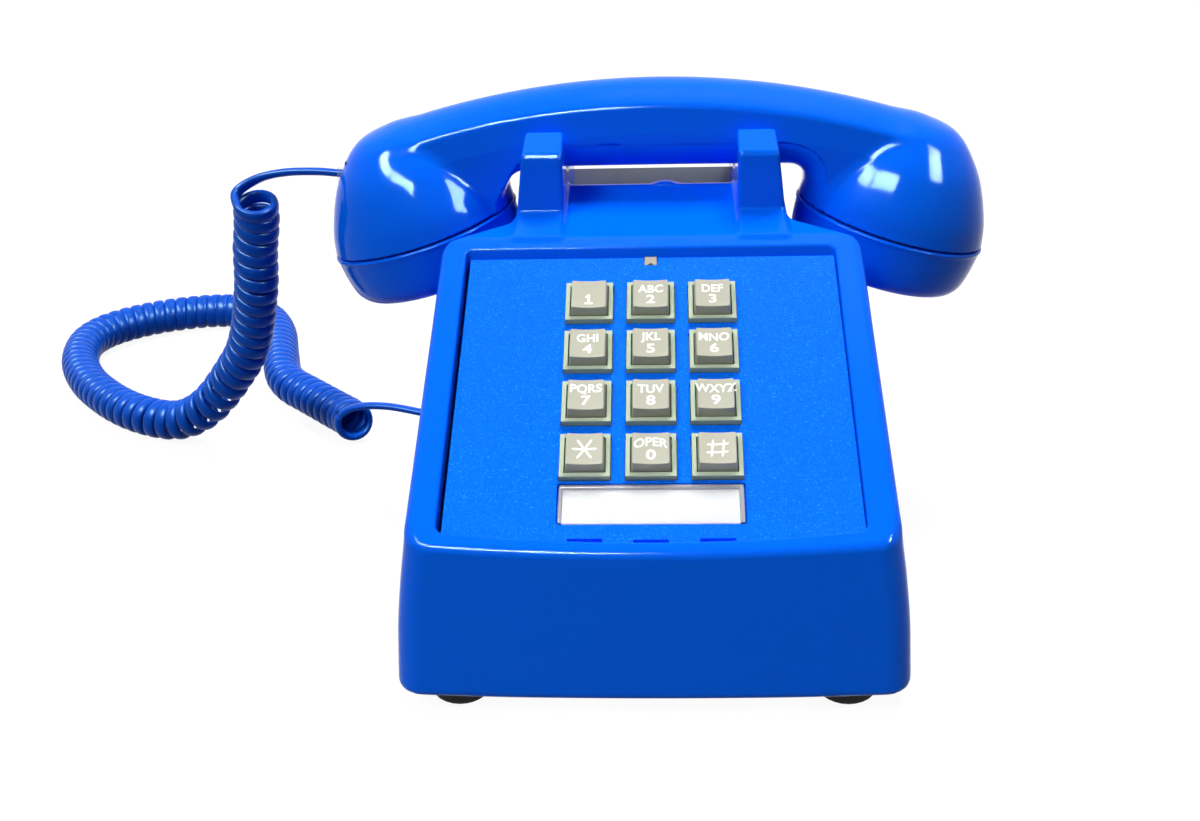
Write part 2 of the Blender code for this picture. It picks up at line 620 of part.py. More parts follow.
def face_outline(inset, shift=0):
    """The face plate's opening, with a bowed lower edge; drawn in the face's own plane."""
    top, bottom = OPENING_TOP_WIDTH / 2 - inset, OPENING_BOTTOM_WIDTH / 2 - inset
    lower = [(bottom * i / 5, inset - OPENING_BOTTOM - OPENING_BOW * (1 - (i / 5) ** 2))
             for i in range(-5, 6)]
    return [(x + shift, y) for x, y in lower + [(top, OPENING_TOP - inset), (-top, OPENING_TOP - inset)]]


def on_face(name, outline, low, high):
    """A plate in the face's plane, between two heights above the face."""
    return place(plate(name, outline, high - low, centre=(0, 0, (low + high) / 2)), parent=FACE)


def make_housing():
    housing = housing_form("housing", 0)
    join(housing, cradle_cheek("cheek_right", 1), cradle_cheek("cheek_left", -1))
    bump_z = CREST_HEIGHT + CREST_BUMP_RISE - CREST_BUMP_RADIUS
    crest_y = FACE_TOP.y + CREST_SETBACK
    join(housing, rod("crest_bump", CREST_BUMP_RADIUS, (CREST_BUMP_X, crest_y - 2 * MM, bump_z),
                      (CREST_BUMP_X, crest_y + 2 * MM, bump_z), 40))
    cut(housing, housing_form("housing_hollow", WALL))
    ledge_depth = FACEPLATE_BACK - GAP - 1.6 * MM
    join(housing, on_face("opening_frame", face_outline(-2.2 * MM), ledge_depth, -1 * MM))
    for name, y in (("boss_front", SCREW_FRONT_Y), ("boss_rear", SCREW_REAR_Y)):
        join(housing, rod(name, BOSS_RADIUS, (0, y, PLATE_TOP + GAP), (0, y, BOSS_TOP)))
        cut(housing, rod(f"{name}_bore", SCREW_RADIUS + GAP, (0, y, 0), (0, y, PLATE_TOP + 12 * MM), 12))
    cut(housing,
        on_face("opening_seat", face_outline(0), FACEPLATE_BACK - GAP, 10 * MM),
        on_face("opening_through", face_outline(LEDGE), -30 * MM, 10 * MM))
    for side in (-1, 1):
        x = side * PLUNGER_X
        cut(housing, rod(f"plunger_hole_{'right' if side > 0 else 'left'}", PLUNGER_RADIUS + GAP,
                         (x, HANDSET_Y, CREST_HEIGHT - 12 * MM), (x, HANDSET_Y, SADDLE_TOP + 4 * MM)))
    cut(housing, jack_opening("handset_jack_opening", LEFT_JACK),
        jack_opening("line_jack_opening", REAR_JACK))
    return add_part(housing, PLASTIC)


def make_grip_rail():
    """The steel strip between the rear ears, behind the crest."""
    size = (2 * (EAR_INNER - GAP), RAIL_THICKNESS, RAIL_DEPTH)
    rail = block("grip_rail", size, (0, FACE_TOP.y + RAIL_SETBACK, RAIL_TOP - RAIL_DEPTH / 2))
    add_part(bevel(rail, 0.4 * MM, 1), ZINC_STEEL)


# ---------------------------------------------------------------- base
def base_outline():
    half = RIM_WIDTH / 2 - WALL - 2 * GAP
    return plan_outline(half, FRONT_Y + WALL + 2 * GAP, REAR_Y - WALL - 2 * GAP, 0)


def make_base():
    base = plate("base_plate", base_outline(), PLATE_THICKNESS,
                 centre=(0, 0, (PLATE_BOTTOM + PLATE_TOP) / 2))
    holes = [(x, y, FOOT_STEM_RADIUS + GAP) for _, x, y in FEET]
    holes += [(0, SCREW_FRONT_Y, SCREW_RADIUS + GAP), (0, SCREW_REAR_Y, SCREW_RADIUS + GAP),
              (WHEEL_X, WHEEL_Y, WHEEL_STEM + GAP)]
    for i, (x, y, radius) in enumerate(holes):
        cut(base, rod(f"base_hole_{i}", radius, (x, y, 0), (x, y, PLATE_TOP + 5 * MM), 16))
    add_part(base, ZINC_STEEL)
    for name, x, y in FEET:
        make_foot(name, x, y)
    for name, y in (("housing_screw_front", SCREW_FRONT_Y), ("housing_screw_rear", SCREW_REAR_Y)):
        make_base_screw(name, y)


def make_foot(name, x, y):
    """A rubber foot: a tapered pad, and a stem with a barb that holds it in the base plate."""
    r, stem, top = FOOT_RADIUS, FOOT_STEM_RADIUS, PLATE_BOTTOM - GAP
    profile = [(0, PLATE_TOP + GAP + 1.8 * MM), (stem * 0.8, PLATE_TOP + GAP + 1.8 * MM),
               (stem * 1.5, PLATE_TOP + GAP), (stem, PLATE_TOP + GAP), (stem, top), (r, top),
               (r - 0.4 * MM, 0.8 * MM), (r - 1.3 * MM, 0), (0, 0)]
    add_part(place(turned(name, profile, 24), (x, y, 0)), BLACK_RUBBER)


def make_base_screw(name, y):
    head_top = PLATE_BOTTOM - GAP
    head_bottom = head_top - 2 * MM
    top = PLATE_TOP + 10 * MM
    profile = [(0, top), (SCREW_RADIUS, top), (SCREW_RADIUS, head_top), (SCREW_HEAD_RADIUS, head_top),
               (SCREW_HEAD_RADIUS, head_bottom + 0.5 * MM), (SCREW_HEAD_RADIUS - 0.8 * MM, head_bottom),
               (0, head_bottom)]
    screw = place(turned(name, profile, 16), (0, y, 0))
    slot = block(f"{name}_slot", (5 * MM, 0.9 * MM, 1.6 * MM), (0, y, head_bottom))
    add_part(cut(screw, slot), ZINC_STEEL)


# ---------------------------------------------------------------- face plate and keypad
def key_centres():
    """Each button's name and place in the face's plane."""
    for row, names in enumerate(KEY_NAMES):
        for column, name in enumerate(names):
            yield name, (column - 1) * KEY_PITCH, (1.5 - row) * KEY_PITCH


def key_blocks(name, size, low, high):
    """Twelve equal square blocks, one for each button, in one object."""
    def build(bm):
        for _, x, y in key_centres():
            cube = bmesh.ops.create_cube(bm, size=1)["verts"]
            bmesh.ops.scale(bm, vec=(size, size, high - low), verts=cube)
            bmesh.ops.translate(bm, vec=(x, y, (low + high) / 2), verts=cube)
    return place(mesh_object(name, build, smooth=False), parent=FACE)


def make_faceplate():
    plate_top = -PLATE_RECESS
    faceplate = on_face("faceplate", face_outline(FACEPLATE_CLEARANCE, FACEPLATE_SHIFT), FACEPLATE_BACK,
                        plate_top)
    cut(faceplate, key_blocks("collar_holes", COLLAR + 2 * GAP, -20 * MM, 10 * MM))
    pocket = rounded_box_outline(CARD_WIDTH + 4 * GAP, CARD_HEIGHT + 4 * GAP, 0.8 * MM, 2)
    pocket = [(x, y - CARD_BELOW_KEYPAD) for x, y in pocket]
    cut(faceplate, on_face("card_pocket", pocket, CARD_BACK - GAP, 10 * MM))
    latch_y = OPENING_TOP - LATCH_HEIGHT / 2
    cut(faceplate, place(block("latch_notch", (LATCH_WIDTH + 2 * GAP, LATCH_HEIGHT + 2 * GAP, 20 * MM),
                               (0, latch_y, 0)), parent=FACE))
    for i in (-1, 0, 1):
        x = i * NOTCH_PITCH
        edge = -OPENING_BOTTOM - OPENING_BOW * (1 - (x / (OPENING_BOTTOM_WIDTH / 2)) ** 2)
        cut(faceplate, place(block(f"finger_notch_{i + 1}", (NOTCH_WIDTH, 3.6 * MM, 20 * MM), (x, edge, 0)),
                             parent=FACE))
    add_part(faceplate, FACE_PLASTIC)

    latch = block("faceplate_latch", (LATCH_WIDTH, LATCH_HEIGHT, FACEPLATE_THICKNESS),
                  (0, latch_y, plate_top - FACEPLATE_THICKNESS / 2 - 0.2 * MM))
    arch = rod("latch_arch", LATCH_WIDTH * 0.2, (0, latch_y - LATCH_HEIGHT / 2, -9 * MM),
               (0, latch_y - LATCH_HEIGHT / 2, 5 * MM), 12)
    place(arch, parent=FACE)
    add_part(cut(place(latch, parent=FACE), arch), TAN_PLASTIC)


def make_card():
    outline = rounded_box_outline(CARD_WIDTH, CARD_HEIGHT, 0.5 * MM, 2)
    outline = [(x, y - CARD_BELOW_KEYPAD) for x, y in outline]
    add_part(on_face("number_card", outline, CARD_BACK, CARD_BACK + CARD_THICKNESS), CARD_PAPER)
    window_back = CARD_BACK + CARD_THICKNESS + GAP
    add_part(on_face("card_window", outline, window_back, window_back + WINDOW_THICKNESS), CLEAR_PLASTIC)


def make_keypad():
    """Collars in one moulding, buttons, the chassis below them, the contact mat and the board."""
    outline = rounded_box_outline(KEYPAD_WIDTH, KEYPAD_HEIGHT, 2 * MM, 2)
    bezel = on_face("keypad_bezel", outline, BEZEL_BACK, BEZEL_TOP)
    join(bezel, key_blocks("collars", COLLAR, BEZEL_TOP - 1 * MM, COLLAR_ABOVE_FACE))
    cut(bezel, key_blocks("button_holes", BUTTON_BASE + 2 * GAP, -20 * MM, 10 * MM))
    add_part(bezel, COLLAR_PLASTIC)

    for name, x, y in key_centres():
        add_part(make_button(name, x, y), BUTTON_PLASTIC)

    chassis = on_face("keypad_chassis", outline, BEZEL_BACK - GAP - CHASSIS_DEPTH, BEZEL_BACK - GAP)
    inner = rounded_box_outline(KEYPAD_WIDTH - 5 * MM, KEYPAD_HEIGHT - 3 * MM, 1 * MM, 2)
    add_part(cut(chassis, on_face("chassis_hollow", inner, -50 * MM, 10 * MM)), BLACK_PLASTIC)
    mat_outline = rounded_box_outline(KEYPAD_WIDTH - 6 * MM, KEYPAD_HEIGHT - 4 * MM, 1 * MM, 2)
    add_part(on_face("contact_mat", mat_outline, BOARD_TOP + GAP, BOARD_TOP + GAP + 0.8 * MM), BLACK_RUBBER)
    add_part(on_face("keypad_board", outline, BOARD_TOP - 1.6 * MM, BOARD_TOP), GREEN_BOARD)


def make_button(name, x, y):
    """A four-sided turned piece: a stem, a flange that stops under the bezel, and a dished top."""
    corner = math.sqrt(2) / 2
    base, top = BUTTON_BASE * corner, BUTTON_TOP * corner
    flange = (BUTTON_BASE + 2.2 * MM) * corner
    crown = COLLAR_ABOVE_FACE + BUTTON_RISE
    rounding = 0.5 * MM
    profile = [(0, crown), (top - rounding, crown), (top, crown - rounding),
               (base, COLLAR_ABOVE_FACE - 1 * MM), (base, FLANGE_TOP), (flange, FLANGE_TOP),
               (flange, FLANGE_TOP - FLANGE_THICKNESS), (3 * MM, FLANGE_TOP - FLANGE_THICKNESS),
               (3 * MM, STEM_BOTTOM), (0, STEM_BOTTOM)]
    button = turned(name, profile, 4, smooth=False)
    place(button, (x, y, 0), (0, 0, math.radians(45)), FACE)
    radius = (BUTTON_TOP / 2) ** 2 / (2 * BUTTON_DISH) + BUTTON_DISH / 2
    height = crown - BUTTON_DISH + radius
    dish = rod(f"{name}_dish", radius, (x - BUTTON_BASE, y, height), (x + BUTTON_BASE, y, height), 72)
    return cut(button, place(dish, parent=FACE))


# ---------------------------------------------------------------- hook switch
def make_hook_switch():
    top = HANDLE_BOTTOM - 0.8 * SADDLE_GAP
    collar_top = CREST_HEIGHT - WALL - PLUNGER_TRAVEL - 4.5 * MM
    stem_bottom = LEVER_HEIGHT + 1 * MM + GAP
    for name, side in (("plunger_left", -1), ("plunger_right", 1)):
        profile = [(0, top), (PLUNGER_RADIUS - 0.8 * MM, top), (PLUNGER_RADIUS, top - 0.8 * MM),
                   (PLUNGER_RADIUS, collar_top), (PLUNGER_RADIUS + 1.6 * MM, collar_top),
                   (PLUNGER_RADIUS + 1.6 * MM, collar_top - 2 * MM), (2.4 * MM, collar_top - 2 * MM),
                   (2.4 * MM, stem_bottom), (0, stem_bottom)]
        add_part(place(turned(name, profile, 20), (side * PLUNGER_X, HANDSET_Y, 0)), BLACK_PLASTIC)

    pivot_y = HANDSET_Y + LEVER_REACH
    half = PLUNGER_X + 4 * MM
    hub_half = PLUNGER_X - HUB_INSET
    front, back = HANDSET_Y - 5 * MM, pivot_y - 6 * MM
    lever = block("hookswitch_lever", (2 * half, back - front + 1 * MM, 2 * MM),
                  (0, (front + back + 1 * MM) / 2 - pivot_y, 0))
    place(lever, (0, pivot_y, LEVER_HEIGHT))
    join(lever, block("lever_hub", (2 * hub_half, 10 * MM, 6 * MM), (0, pivot_y - 1 * MM, LEVER_HEIGHT)))
    cut(lever, block("lever_window", (2 * (hub_half - LEVER_MARGIN), back - front - 7 * MM, 10 * MM),
                     (0, (front + back) / 2 - 2.5 * MM, LEVER_HEIGHT)),
        rod("lever_bore", PIVOT_RADIUS + GAP, (-half, pivot_y, LEVER_HEIGHT),
            (half, pivot_y, LEVER_HEIGHT), 16))
    add_part(lever, ZINC_STEEL)

    flange_top = LEVER_HEIGHT - 7.7 * MM
    column = pivot_y + 8.5 * MM
    sheet, floor = BRACKET_SHEET, PLATE_TOP + GAP
    outline = [(pivot_y - 10 * MM, flange_top - sheet), (column, flange_top - sheet),
               (column, floor + sheet), (pivot_y - 12 * MM, floor + sheet), (pivot_y - 12 * MM, floor),
               (column + sheet, floor), (column + sheet, flange_top), (pivot_y - 10 * MM, flange_top)]
    bracket = plate("hookswitch_bracket", outline, 2 * (hub_half + 0.5 * MM + sheet + 1.4 * MM), AXIS_YZX)
    for side in (-1, 1):
        word = "right" if side > 0 else "left"
        ear_x = side * (hub_half + 0.5 * MM + sheet / 2)
        ear = block(f"bracket_ear_{word}", (sheet, 7 * MM, 14 * MM),
                    (ear_x, pivot_y, flange_top + 6 * MM))
        join(bracket, ear)
    cut(bracket, rod("bracket_bore", PIVOT_RADIUS + GAP, (-half, pivot_y, LEVER_HEIGHT),
                     (half, pivot_y, LEVER_HEIGHT), 16))
    add_part(bracket, ZINC_STEEL)
    reach = hub_half + LEVER_MARGIN
    pin = rod("lever_pin", PIVOT_RADIUS, (-reach, pivot_y, LEVER_HEIGHT), (reach, pivot_y, LEVER_HEIGHT), 16)
    add_part(pin, ZINC_STEEL)
    contacts = block("hookswitch_contacts", (28 * MM, 8 * MM, 3 * MM),
                     (0, pivot_y - 5.5 * MM, flange_top + GAP + 1.5 * MM))
    add_part(bevel(contacts, 0.5 * MM, 1), BLACK_PLASTIC)


# ---------------------------------------------------------------- ringer, wheel and network
def make_ringer():
    floor = PLATE_TOP + GAP
    sheet = COIL_SHEET
    wide, narrow = GONG_SPACING / 2 + FRAME_MARGIN, RINGER_HALF
    right = [(wide, GONG_Y - FRAME_MARGIN), (wide, GONG_Y + FRAME_MARGIN),
             (narrow, GONG_Y + FRAME_SHOULDER), (narrow, COIL_Y + FRAME_TAIL)]
    left = [(-x, y) for x, y in reversed(right)]
    frame = plate("ringer_frame", right + left, sheet, centre=(0, 0, floor + sheet / 2))
    crown = floor + sheet + 10 * MM + GONG_HEIGHT
    for side in (-1, 1):
        word = "right" if side > 0 else "left"
        x = side * GONG_SPACING / 2
        post_top = crown - 1.4 * MM - GAP
        join(frame, rod(f"gong_post_{word}", 3.6 * MM, (x, GONG_Y, floor), (x, GONG_Y, post_top), 16))
        cut(frame, rod(f"gong_post_bore_{word}", 1.5 * MM + GAP, (x, GONG_Y, post_top - 8 * MM),
                       (x, GONG_Y, crown + 5 * MM), 12))
        make_gong(f"gong_{word}", x, crown)
        make_gong_screw(f"gong_screw_{word}", x, crown)
        join(frame, block(f"coil_cheek_{word}", (sheet, CHEEK_DEPTH, CHEEK_HEIGHT),
                          (side * (COIL_LENGTH / 2 + GAP + sheet / 2), COIL_Y, floor + CHEEK_HEIGHT / 2)))
    join(frame, rod("clapper_post", 2 * MM, (0, PIVOT_Y, floor), (0, PIVOT_Y, CLAPPER_HEIGHT + 4 * MM), 16))
    add_part(frame, ZINC_STEEL)

    half = COIL_LENGTH / 2
    profile = [(0, half), (10 * MM, half), (10 * MM, half - 2 * MM), (8.6 * MM, half - 2 * MM),
               (8.6 * MM, 2 * MM - half), (10 * MM, 2 * MM - half), (10 * MM, -half), (0, -half)]
    coil = turned("ringer_coil", profile, 24)
    add_part(place(coil, (0, COIL_Y, floor + sheet + GAP + 11 * MM), (0, math.radians(90), 0)), COPPER_WIRE)
    make_clapper()


def make_gong(name, x, crown):
    """A bell cup with its mouth down."""
    r, t = GONG_RADIUS, 1.4 * MM
    outer = [(2 * MM, 0), (r * 0.62, 0), (r * 0.86, -1.6 * MM), (r * 0.97, -4.6 * MM), (r, -GONG_HEIGHT)]
    inner = [(r - t, -GONG_HEIGHT), (r * 0.97 - t, -5.2 * MM), (r * 0.86 - t, -2.4 * MM - t * 0.5),
             (r * 0.62 - t * 0.4, -t), (2 * MM, -t)]
    add_part(place(turned(name, outer + inner, 32, closed=True), (x, GONG_Y, crown)), BRASS)


def make_gong_screw(name, x, crown):
    head = crown + GAP
    profile = [(0, head + 2 * MM), (2.6 * MM, head + 2 * MM), (3.6 * MM, head + 1 * MM), (3.6 * MM, head),
               (1.5 * MM, head), (1.5 * MM, head - 8 * MM), (0, head - 8 * MM)]
    add_part(place(turned(name, profile, 16), (x, GONG_Y, 0)), ZINC_STEEL)


def make_clapper():
    """A rod with a hammer between the gongs, on a hub that turns on the frame's post."""
    z = CLAPPER_HEIGHT
    clapper = turned("clapper", [(2 * MM + GAP, z + 2 * MM), (4.4 * MM, z + 2 * MM), (4.4 * MM, z - 2 * MM),
                                 (2 * MM + GAP, z - 2 * MM)], 20, closed=True)
    place(clapper, (0, PIVOT_Y, 0))
    join(clapper, block("clapper_rod", (1.4 * MM, CLAPPER_LENGTH - 3.4 * MM, 1.4 * MM),
                        (0, PIVOT_Y - CLAPPER_LENGTH / 2 - 1.7 * MM, z)),
         rod("clapper_hammer", CLAPPER_BALL, (0, PIVOT_Y - CLAPPER_LENGTH, z - 2.6 * MM),
             (0, PIVOT_Y - CLAPPER_LENGTH, z + 2.6 * MM), 16))
    add_part(clapper, BRASS)


def make_volume_wheel():
    """The ringer's loudness wheel: a disc under the base plate, with a cam above it."""
    r, top = WHEEL_RADIUS, PLATE_BOTTOM - GAP
    cam = PLATE_TOP + GAP
    profile = [(0, cam + 2.4 * MM), (WHEEL_STEM + 2 * MM, cam + 2.4 * MM), (WHEEL_STEM + 2 * MM, cam),
               (WHEEL_STEM, cam), (WHEEL_STEM, top), (r, top), (r, top - 3.2 * MM), (0, top - 3.2 * MM)]
    wheel = place(turned("volume_wheel", profile, 24), (WHEEL_X, WHEEL_Y, 0))
    pointer = block("wheel_pointer", (1.6 * MM, 6 * MM, 2 * MM),
                    (WHEEL_X, WHEEL_Y - r + 3.2 * MM, top - 3.4 * MM))
    add_part(cut(wheel, pointer), BLACK_PLASTIC)


def make_network():
    """The speech network: a moulded block with screw terminals on top."""
    corner = Vector((-RIM_WIDTH / 2 + NETWORK_INSET, FACE_TOP.y - 2 * MM, PLATE_TOP + GAP))
    size = Vector((-RINGER_HALF - NETWORK_CLEARANCE - corner.x, NETWORK_DEPTH, NETWORK_HEIGHT))
    centre = corner + size / 2
    network = bevel(block("network_block", size, centre), 1 * MM, 1)
    for i in range(5):
        for x in (corner.x + TERMINAL_INSET, corner.x + size.x - TERMINAL_INSET):
            y = corner.y + TERMINAL_INSET + TERMINAL_PITCH * i
            top = corner.z + size.z
            join(network, rod(f"terminal_{i}_{round((x - corner.x) / MM)}", 2.2 * MM,
                              (x, y, top - 2 * MM), (x, y, top + 2.2 * MM), 10))
    add_part(network, BLACK_PLASTIC)


# ---------------------------------------------------------------- jacks and plugs
def jack_frame(origin, out):
    """A frame with its origin in the mouth of the socket and its Z axis pointing out of it."""
    z = Vector(out).normalized()
    x = Vector((0, 0, 1)).cross(z).normalized()
    y = z.cross(x)
    turn = Matrix((x, y, z)).transposed().to_4x4()
    return Matrix.Translation(origin) @ turn


def jack_opening(name, frame):
    opening = block(name, (JACK_WIDTH + 2 * GAP, JACK_HEIGHT + 2 * GAP, 2 * JACK_DEPTH))
    opening.data.transform(frame)
    return opening


def make_jack(name, frame):
    """A box with a socket for a cord's plug."""
    jack = block(name, (JACK_WIDTH, JACK_HEIGHT, JACK_DEPTH), (0, 0, -JACK_DEPTH / 2))
    jack.data.transform(frame)
    socket = block(f"{name}_socket", (PLUG_WIDTH + 2 * GAP, PLUG_HEIGHT + 2 * GAP, 2 * SOCKET_DEPTH))
    socket.data.transform(frame)
    add_part(cut(jack, socket), BLACK_PLASTIC)


def make_plug(name, frame):
    """The clear plug on the cord's end, seated in its socket."""
    plug = block(name, (PLUG_WIDTH, PLUG_HEIGHT, PLUG_LENGTH),
                 (0, 0, PLUG_LENGTH / 2 - SOCKET_DEPTH + GAP))
    plug.data.transform(frame)
    add_part(bevel(plug, 0.5 * MM, 1), CLEAR_PLASTIC)


# ---------------------------------------------------------------- handset
def handle_section(x):
    """The handle's outline at one place along it: a low crown, flat sides and a round underside."""
    reach = abs(x)
    top = HANDLE_TOP - HANDLE_ARCH + math.sqrt(HANDLE_ARCH ** 2 - x ** 2)
    past = min(max(0, reach - THROAT_HALF), THROAT_ROUND)
    bottom = HANDLE_BOTTOM - (THROAT_ROUND - math.sqrt(THROAT_ROUND ** 2 - past ** 2))
    turn = THROAT_ROUND + 6 * MM
    past = min(max(0, reach - THROAT_HALF), turn)
    side = HANDLE_BOTTOM + 10.4 * MM - (turn - math.sqrt(turn ** 2 - past ** 2))
    if reach > THROAT_HALF + turn:
        bottom += (reach - THROAT_HALF - turn) * 0.34
        side = bottom + 0.5 * MM
    nose = HANDSET_LENGTH / 2 - 13 * MM
    taper_start = nose - 22 * MM
    share = min(1, max(0, (reach - taper_start) / (nose - taper_start)))
    width = math.sqrt(1 - (0.97 * share) ** 2)
    half, crease, drop = HANDLE_WIDTH / 2 * width, HANDLE_CREASE * width, CROWN_DROP * width
    side = min(side, top - drop - 1 * MM)
    bottom = min(bottom, side - 0.3 * MM)
    right = [(0, top), (crease * 0.52, top - drop * 0.25), (crease, top - drop), (half, side),
             (half * 0.80, bottom + (side - bottom) * 0.42), (half * 0.42, bottom + (side - bottom) * 0.09)]
    left = [(-y, z) for y, z in reversed(right[1:])]
    return [(HANDSET_X + x, HANDSET_Y + y, z) for y, z in right + [(0, bottom)] + left]


def handle_stations():
    """Places along the handle, closer together where the throat turns."""
    nose = HANDSET_LENGTH / 2 - 13 * MM
    turn = THROAT_ROUND + 6 * MM
    half = [0.36 * THROAT_HALF, 0.72 * THROAT_HALF, THROAT_HALF]
    half += [THROAT_HALF + share * THROAT_ROUND for share in (0.5, 0.8, 0.95)]
    half += [THROAT_HALF + 0.8 * turn, THROAT_HALF + turn, nose - 22 * MM]
    half += [nose - share * 22 * MM for share in (0.55, 0.25, 0.08, 0)]
    return [-x for x in reversed(half)] + [0] + half


def cup_profile(inset=0):
    """The cup above its seam, as radius and height, from the top down."""
    r = CUP_RADIUS - inset
    rise = CUP_RISE - inset
    shape = [(0, 1), (0.28, 0.965), (0.46, 0.88), (0.61, 0.745), (0.72, 0.62), (0.80, 0.50),
             (0.885, 0.34), (0.955, 0.175), (1, 0)]
    return [(r * radius, rise * height) for radius, height in shape]


def make_handset():
    handle = loft("handset_handle", [handle_section(x) for x in handle_stations()])
    hollows = []
    for word, side in (("transmitter", -1), ("receiver", 1)):
        cup = turned(f"{word}_cup_form", cup_profile() + [(0, 0)], 40)
        place(cup, parent=CUP_AXES[side])
        join(handle, cup)
        hollow_profile = cup_profile(SHELL) + [(CUP_RADIUS - SHELL, -5 * MM), (0, -5 * MM)]
        hollow = turned(f"{word}_cup_hollow", hollow_profile, 32)
        hollows.append(place(hollow, parent=CUP_AXES[side]))
    wire_z = (HANDLE_TOP + HANDLE_BOTTOM) / 2 - 2 * MM
    channel = rod("wire_channel", 5 * MM, (HANDSET_X - CUP_X, HANDSET_Y, wire_z),
                  (HANDSET_X + CUP_X, HANDSET_Y, wire_z), 12)
    for tool in (*hollows, channel, jack_opening("handset_end_opening", END_JACK)):
        combine(handle, "DIFFERENCE", tool, "MANIFOLD")
    add_part(handle, PLASTIC)
    for word, side in (("transmitter", -1), ("receiver", 1)):
        make_cap(f"{word}_cap", side)
    unit = [(0, 0), (CUP_RADIUS - SHELL - 3 * MM, 0), (CUP_RADIUS - SHELL - 3 * MM, -5 * MM),
            (CUP_RADIUS - SHELL - 8 * MM, -8 * MM), (0, -8 * MM)]
    for word, side, top in (("transmitter", -1, 0 * MM), ("receiver", 1, 3 * MM)):
        profile = [(radius, height + top) for radius, height in unit]
        add_part(place(turned(f"{word}_unit", profile, 28), parent=CUP_AXES[side]), BLACK_PLASTIC)
    rim = CUP_RADIUS - SHELL - 2.4 * MM
    holder = [(0, 3 * MM), (rim - 1.6 * MM, 3 * MM), (rim - 1.6 * MM, 6 * MM), (rim, 6 * MM),
              (rim, 1 * MM + GAP), (0, 1 * MM + GAP)]
    add_part(place(turned("transmitter_cup", holder, 28), parent=CUP_AXES[-1]), BLACK_PLASTIC)


def make_cap(name, side):
    """A screwed-on cap: a tapering rim, a rounded lip and a nearly flat face."""
    r, face, depth = CUP_RADIUS, CAP_FACE_RADIUS, CAP_DEPTH
    top = -GAP
    outer = [(r + 0.4 * MM, top), (r + 0.3 * MM, top - 2 * MM), (r - 1.1 * MM, top - 0.62 * depth),
             (r - 2.7 * MM, top - 0.88 * depth), (face, top - depth), (0, top - depth + 1.2 * MM)]
    inner = [(0, top - depth + 1.2 * MM + SHELL), (face - 1 * MM, top - depth + SHELL),
             (r - 3.6 * MM - SHELL, top - 0.72 * depth), (r - SHELL - 0.8 * MM, top)]
    add_part(place(turned(name, outer + inner, 40, closed=True), parent=CUP_AXES[side]), PLASTIC)


# ---------------------------------------------------------------- cord
def make_cord():
    """The lead to the handset, the curly part as one fat tube, and the lead to the body."""
    plug_face = END_JACK @ Vector((0, 0, PLUG_LENGTH - SOCKET_DEPTH + 2 * GAP))
    lead = [plug_face / MM] + [Vector(point) for point in HANDSET_LEAD_ROUTE]
    add_part(tube("cord_handset_lead", smooth_route(lead, 5 * MM), LEAD_RADIUS), CORD_PLASTIC)
    coil = smooth_route(COIL_ROUTE, 15 * MM)
    add_part(tube("curly_cord", coil, COIL_RADIUS, 4), CORD_PLASTIC)
    plug_face = LEFT_JACK @ Vector((0, 0, PLUG_LENGTH - SOCKET_DEPTH + 2 * GAP))
    lead = [Vector(point) for point in BASE_LEAD_ROUTE] + [plug_face / MM]
    add_part(tube("cord_base_lead", smooth_route(lead, 5 * MM), LEAD_RADIUS), CORD_PLASTIC)


# ---------------------------------------------------------------- places that pieces share
SCREW_FRONT_Y = FRONT_Y + WALL + FRONT_LEAN * (PLATE_TOP + 12 * MM - RIM_HEIGHT) + BOSS_RADIUS
SCREW_REAR_Y = REAR_Y - WALL - BOSS_RADIUS - 1 * MM
BOSS_TOP = RIM_HEIGHT + 22 * MM
FEET = [(f"foot_{end}_{word}", side * (RIM_WIDTH / 2 - FOOT_SIDE_INSET), y)
        for end, y in (("front", FRONT_Y + FRONT_FOOT_INSET), ("rear", REAR_Y - REAR_FOOT_INSET))
        for word, side in (("left", -1), ("right", 1))]
WHEEL_RADIUS = 12 * MM
WHEEL_STEM = 2.4 * MM
WHEEL_X = RIM_WIDTH / 2 - WALL - WHEEL_RADIUS - 2 * MM
WHEEL_Y = FACE_TOP.y
GONG_Y = FRONT_Y + GONG_FRONT
PIVOT_Y = GONG_Y + CLAPPER_LENGTH
COIL_Y = PIVOT_Y + COIL_SETBACK
RINGER_HALF = COIL_LENGTH / 2 + GAP + COIL_SHEET + 1.5 * MM   # half width of the ringer frame at the coil
CARD_BACK = -PLATE_RECESS - 1.2 * MM
JACK_WIDTH = PLUG_WIDTH + 2 * (GAP + JACK_WALL)
JACK_HEIGHT = PLUG_HEIGHT + 2 * (GAP + JACK_WALL)
SOCKET_DEPTH = 9 * MM
JACK_DEPTH = SOCKET_DEPTH + JACK_WALL
SIDE_AT_JACK = RIM_WIDTH / 2 - 1.0 * MM
LEFT_JACK = jack_frame((-SIDE_AT_JACK, FACE_TOP.y + BODY_JACK_SETBACK, BODY_JACK_HEIGHT), (-1, 0, 0))
REAR_JACK = jack_frame((-30 * MM, REAR_Y - 1.2 * MM, BODY_JACK_HEIGHT), (0, 1, 0))
END_JACK = jack_frame((HANDSET_X - HANDSET_LENGTH / 2 + 7.5 * MM, HANDSET_Y, HANDLE_TOP - HANDSET_JACK_DROP),
                      (-1, 0, 0.08))

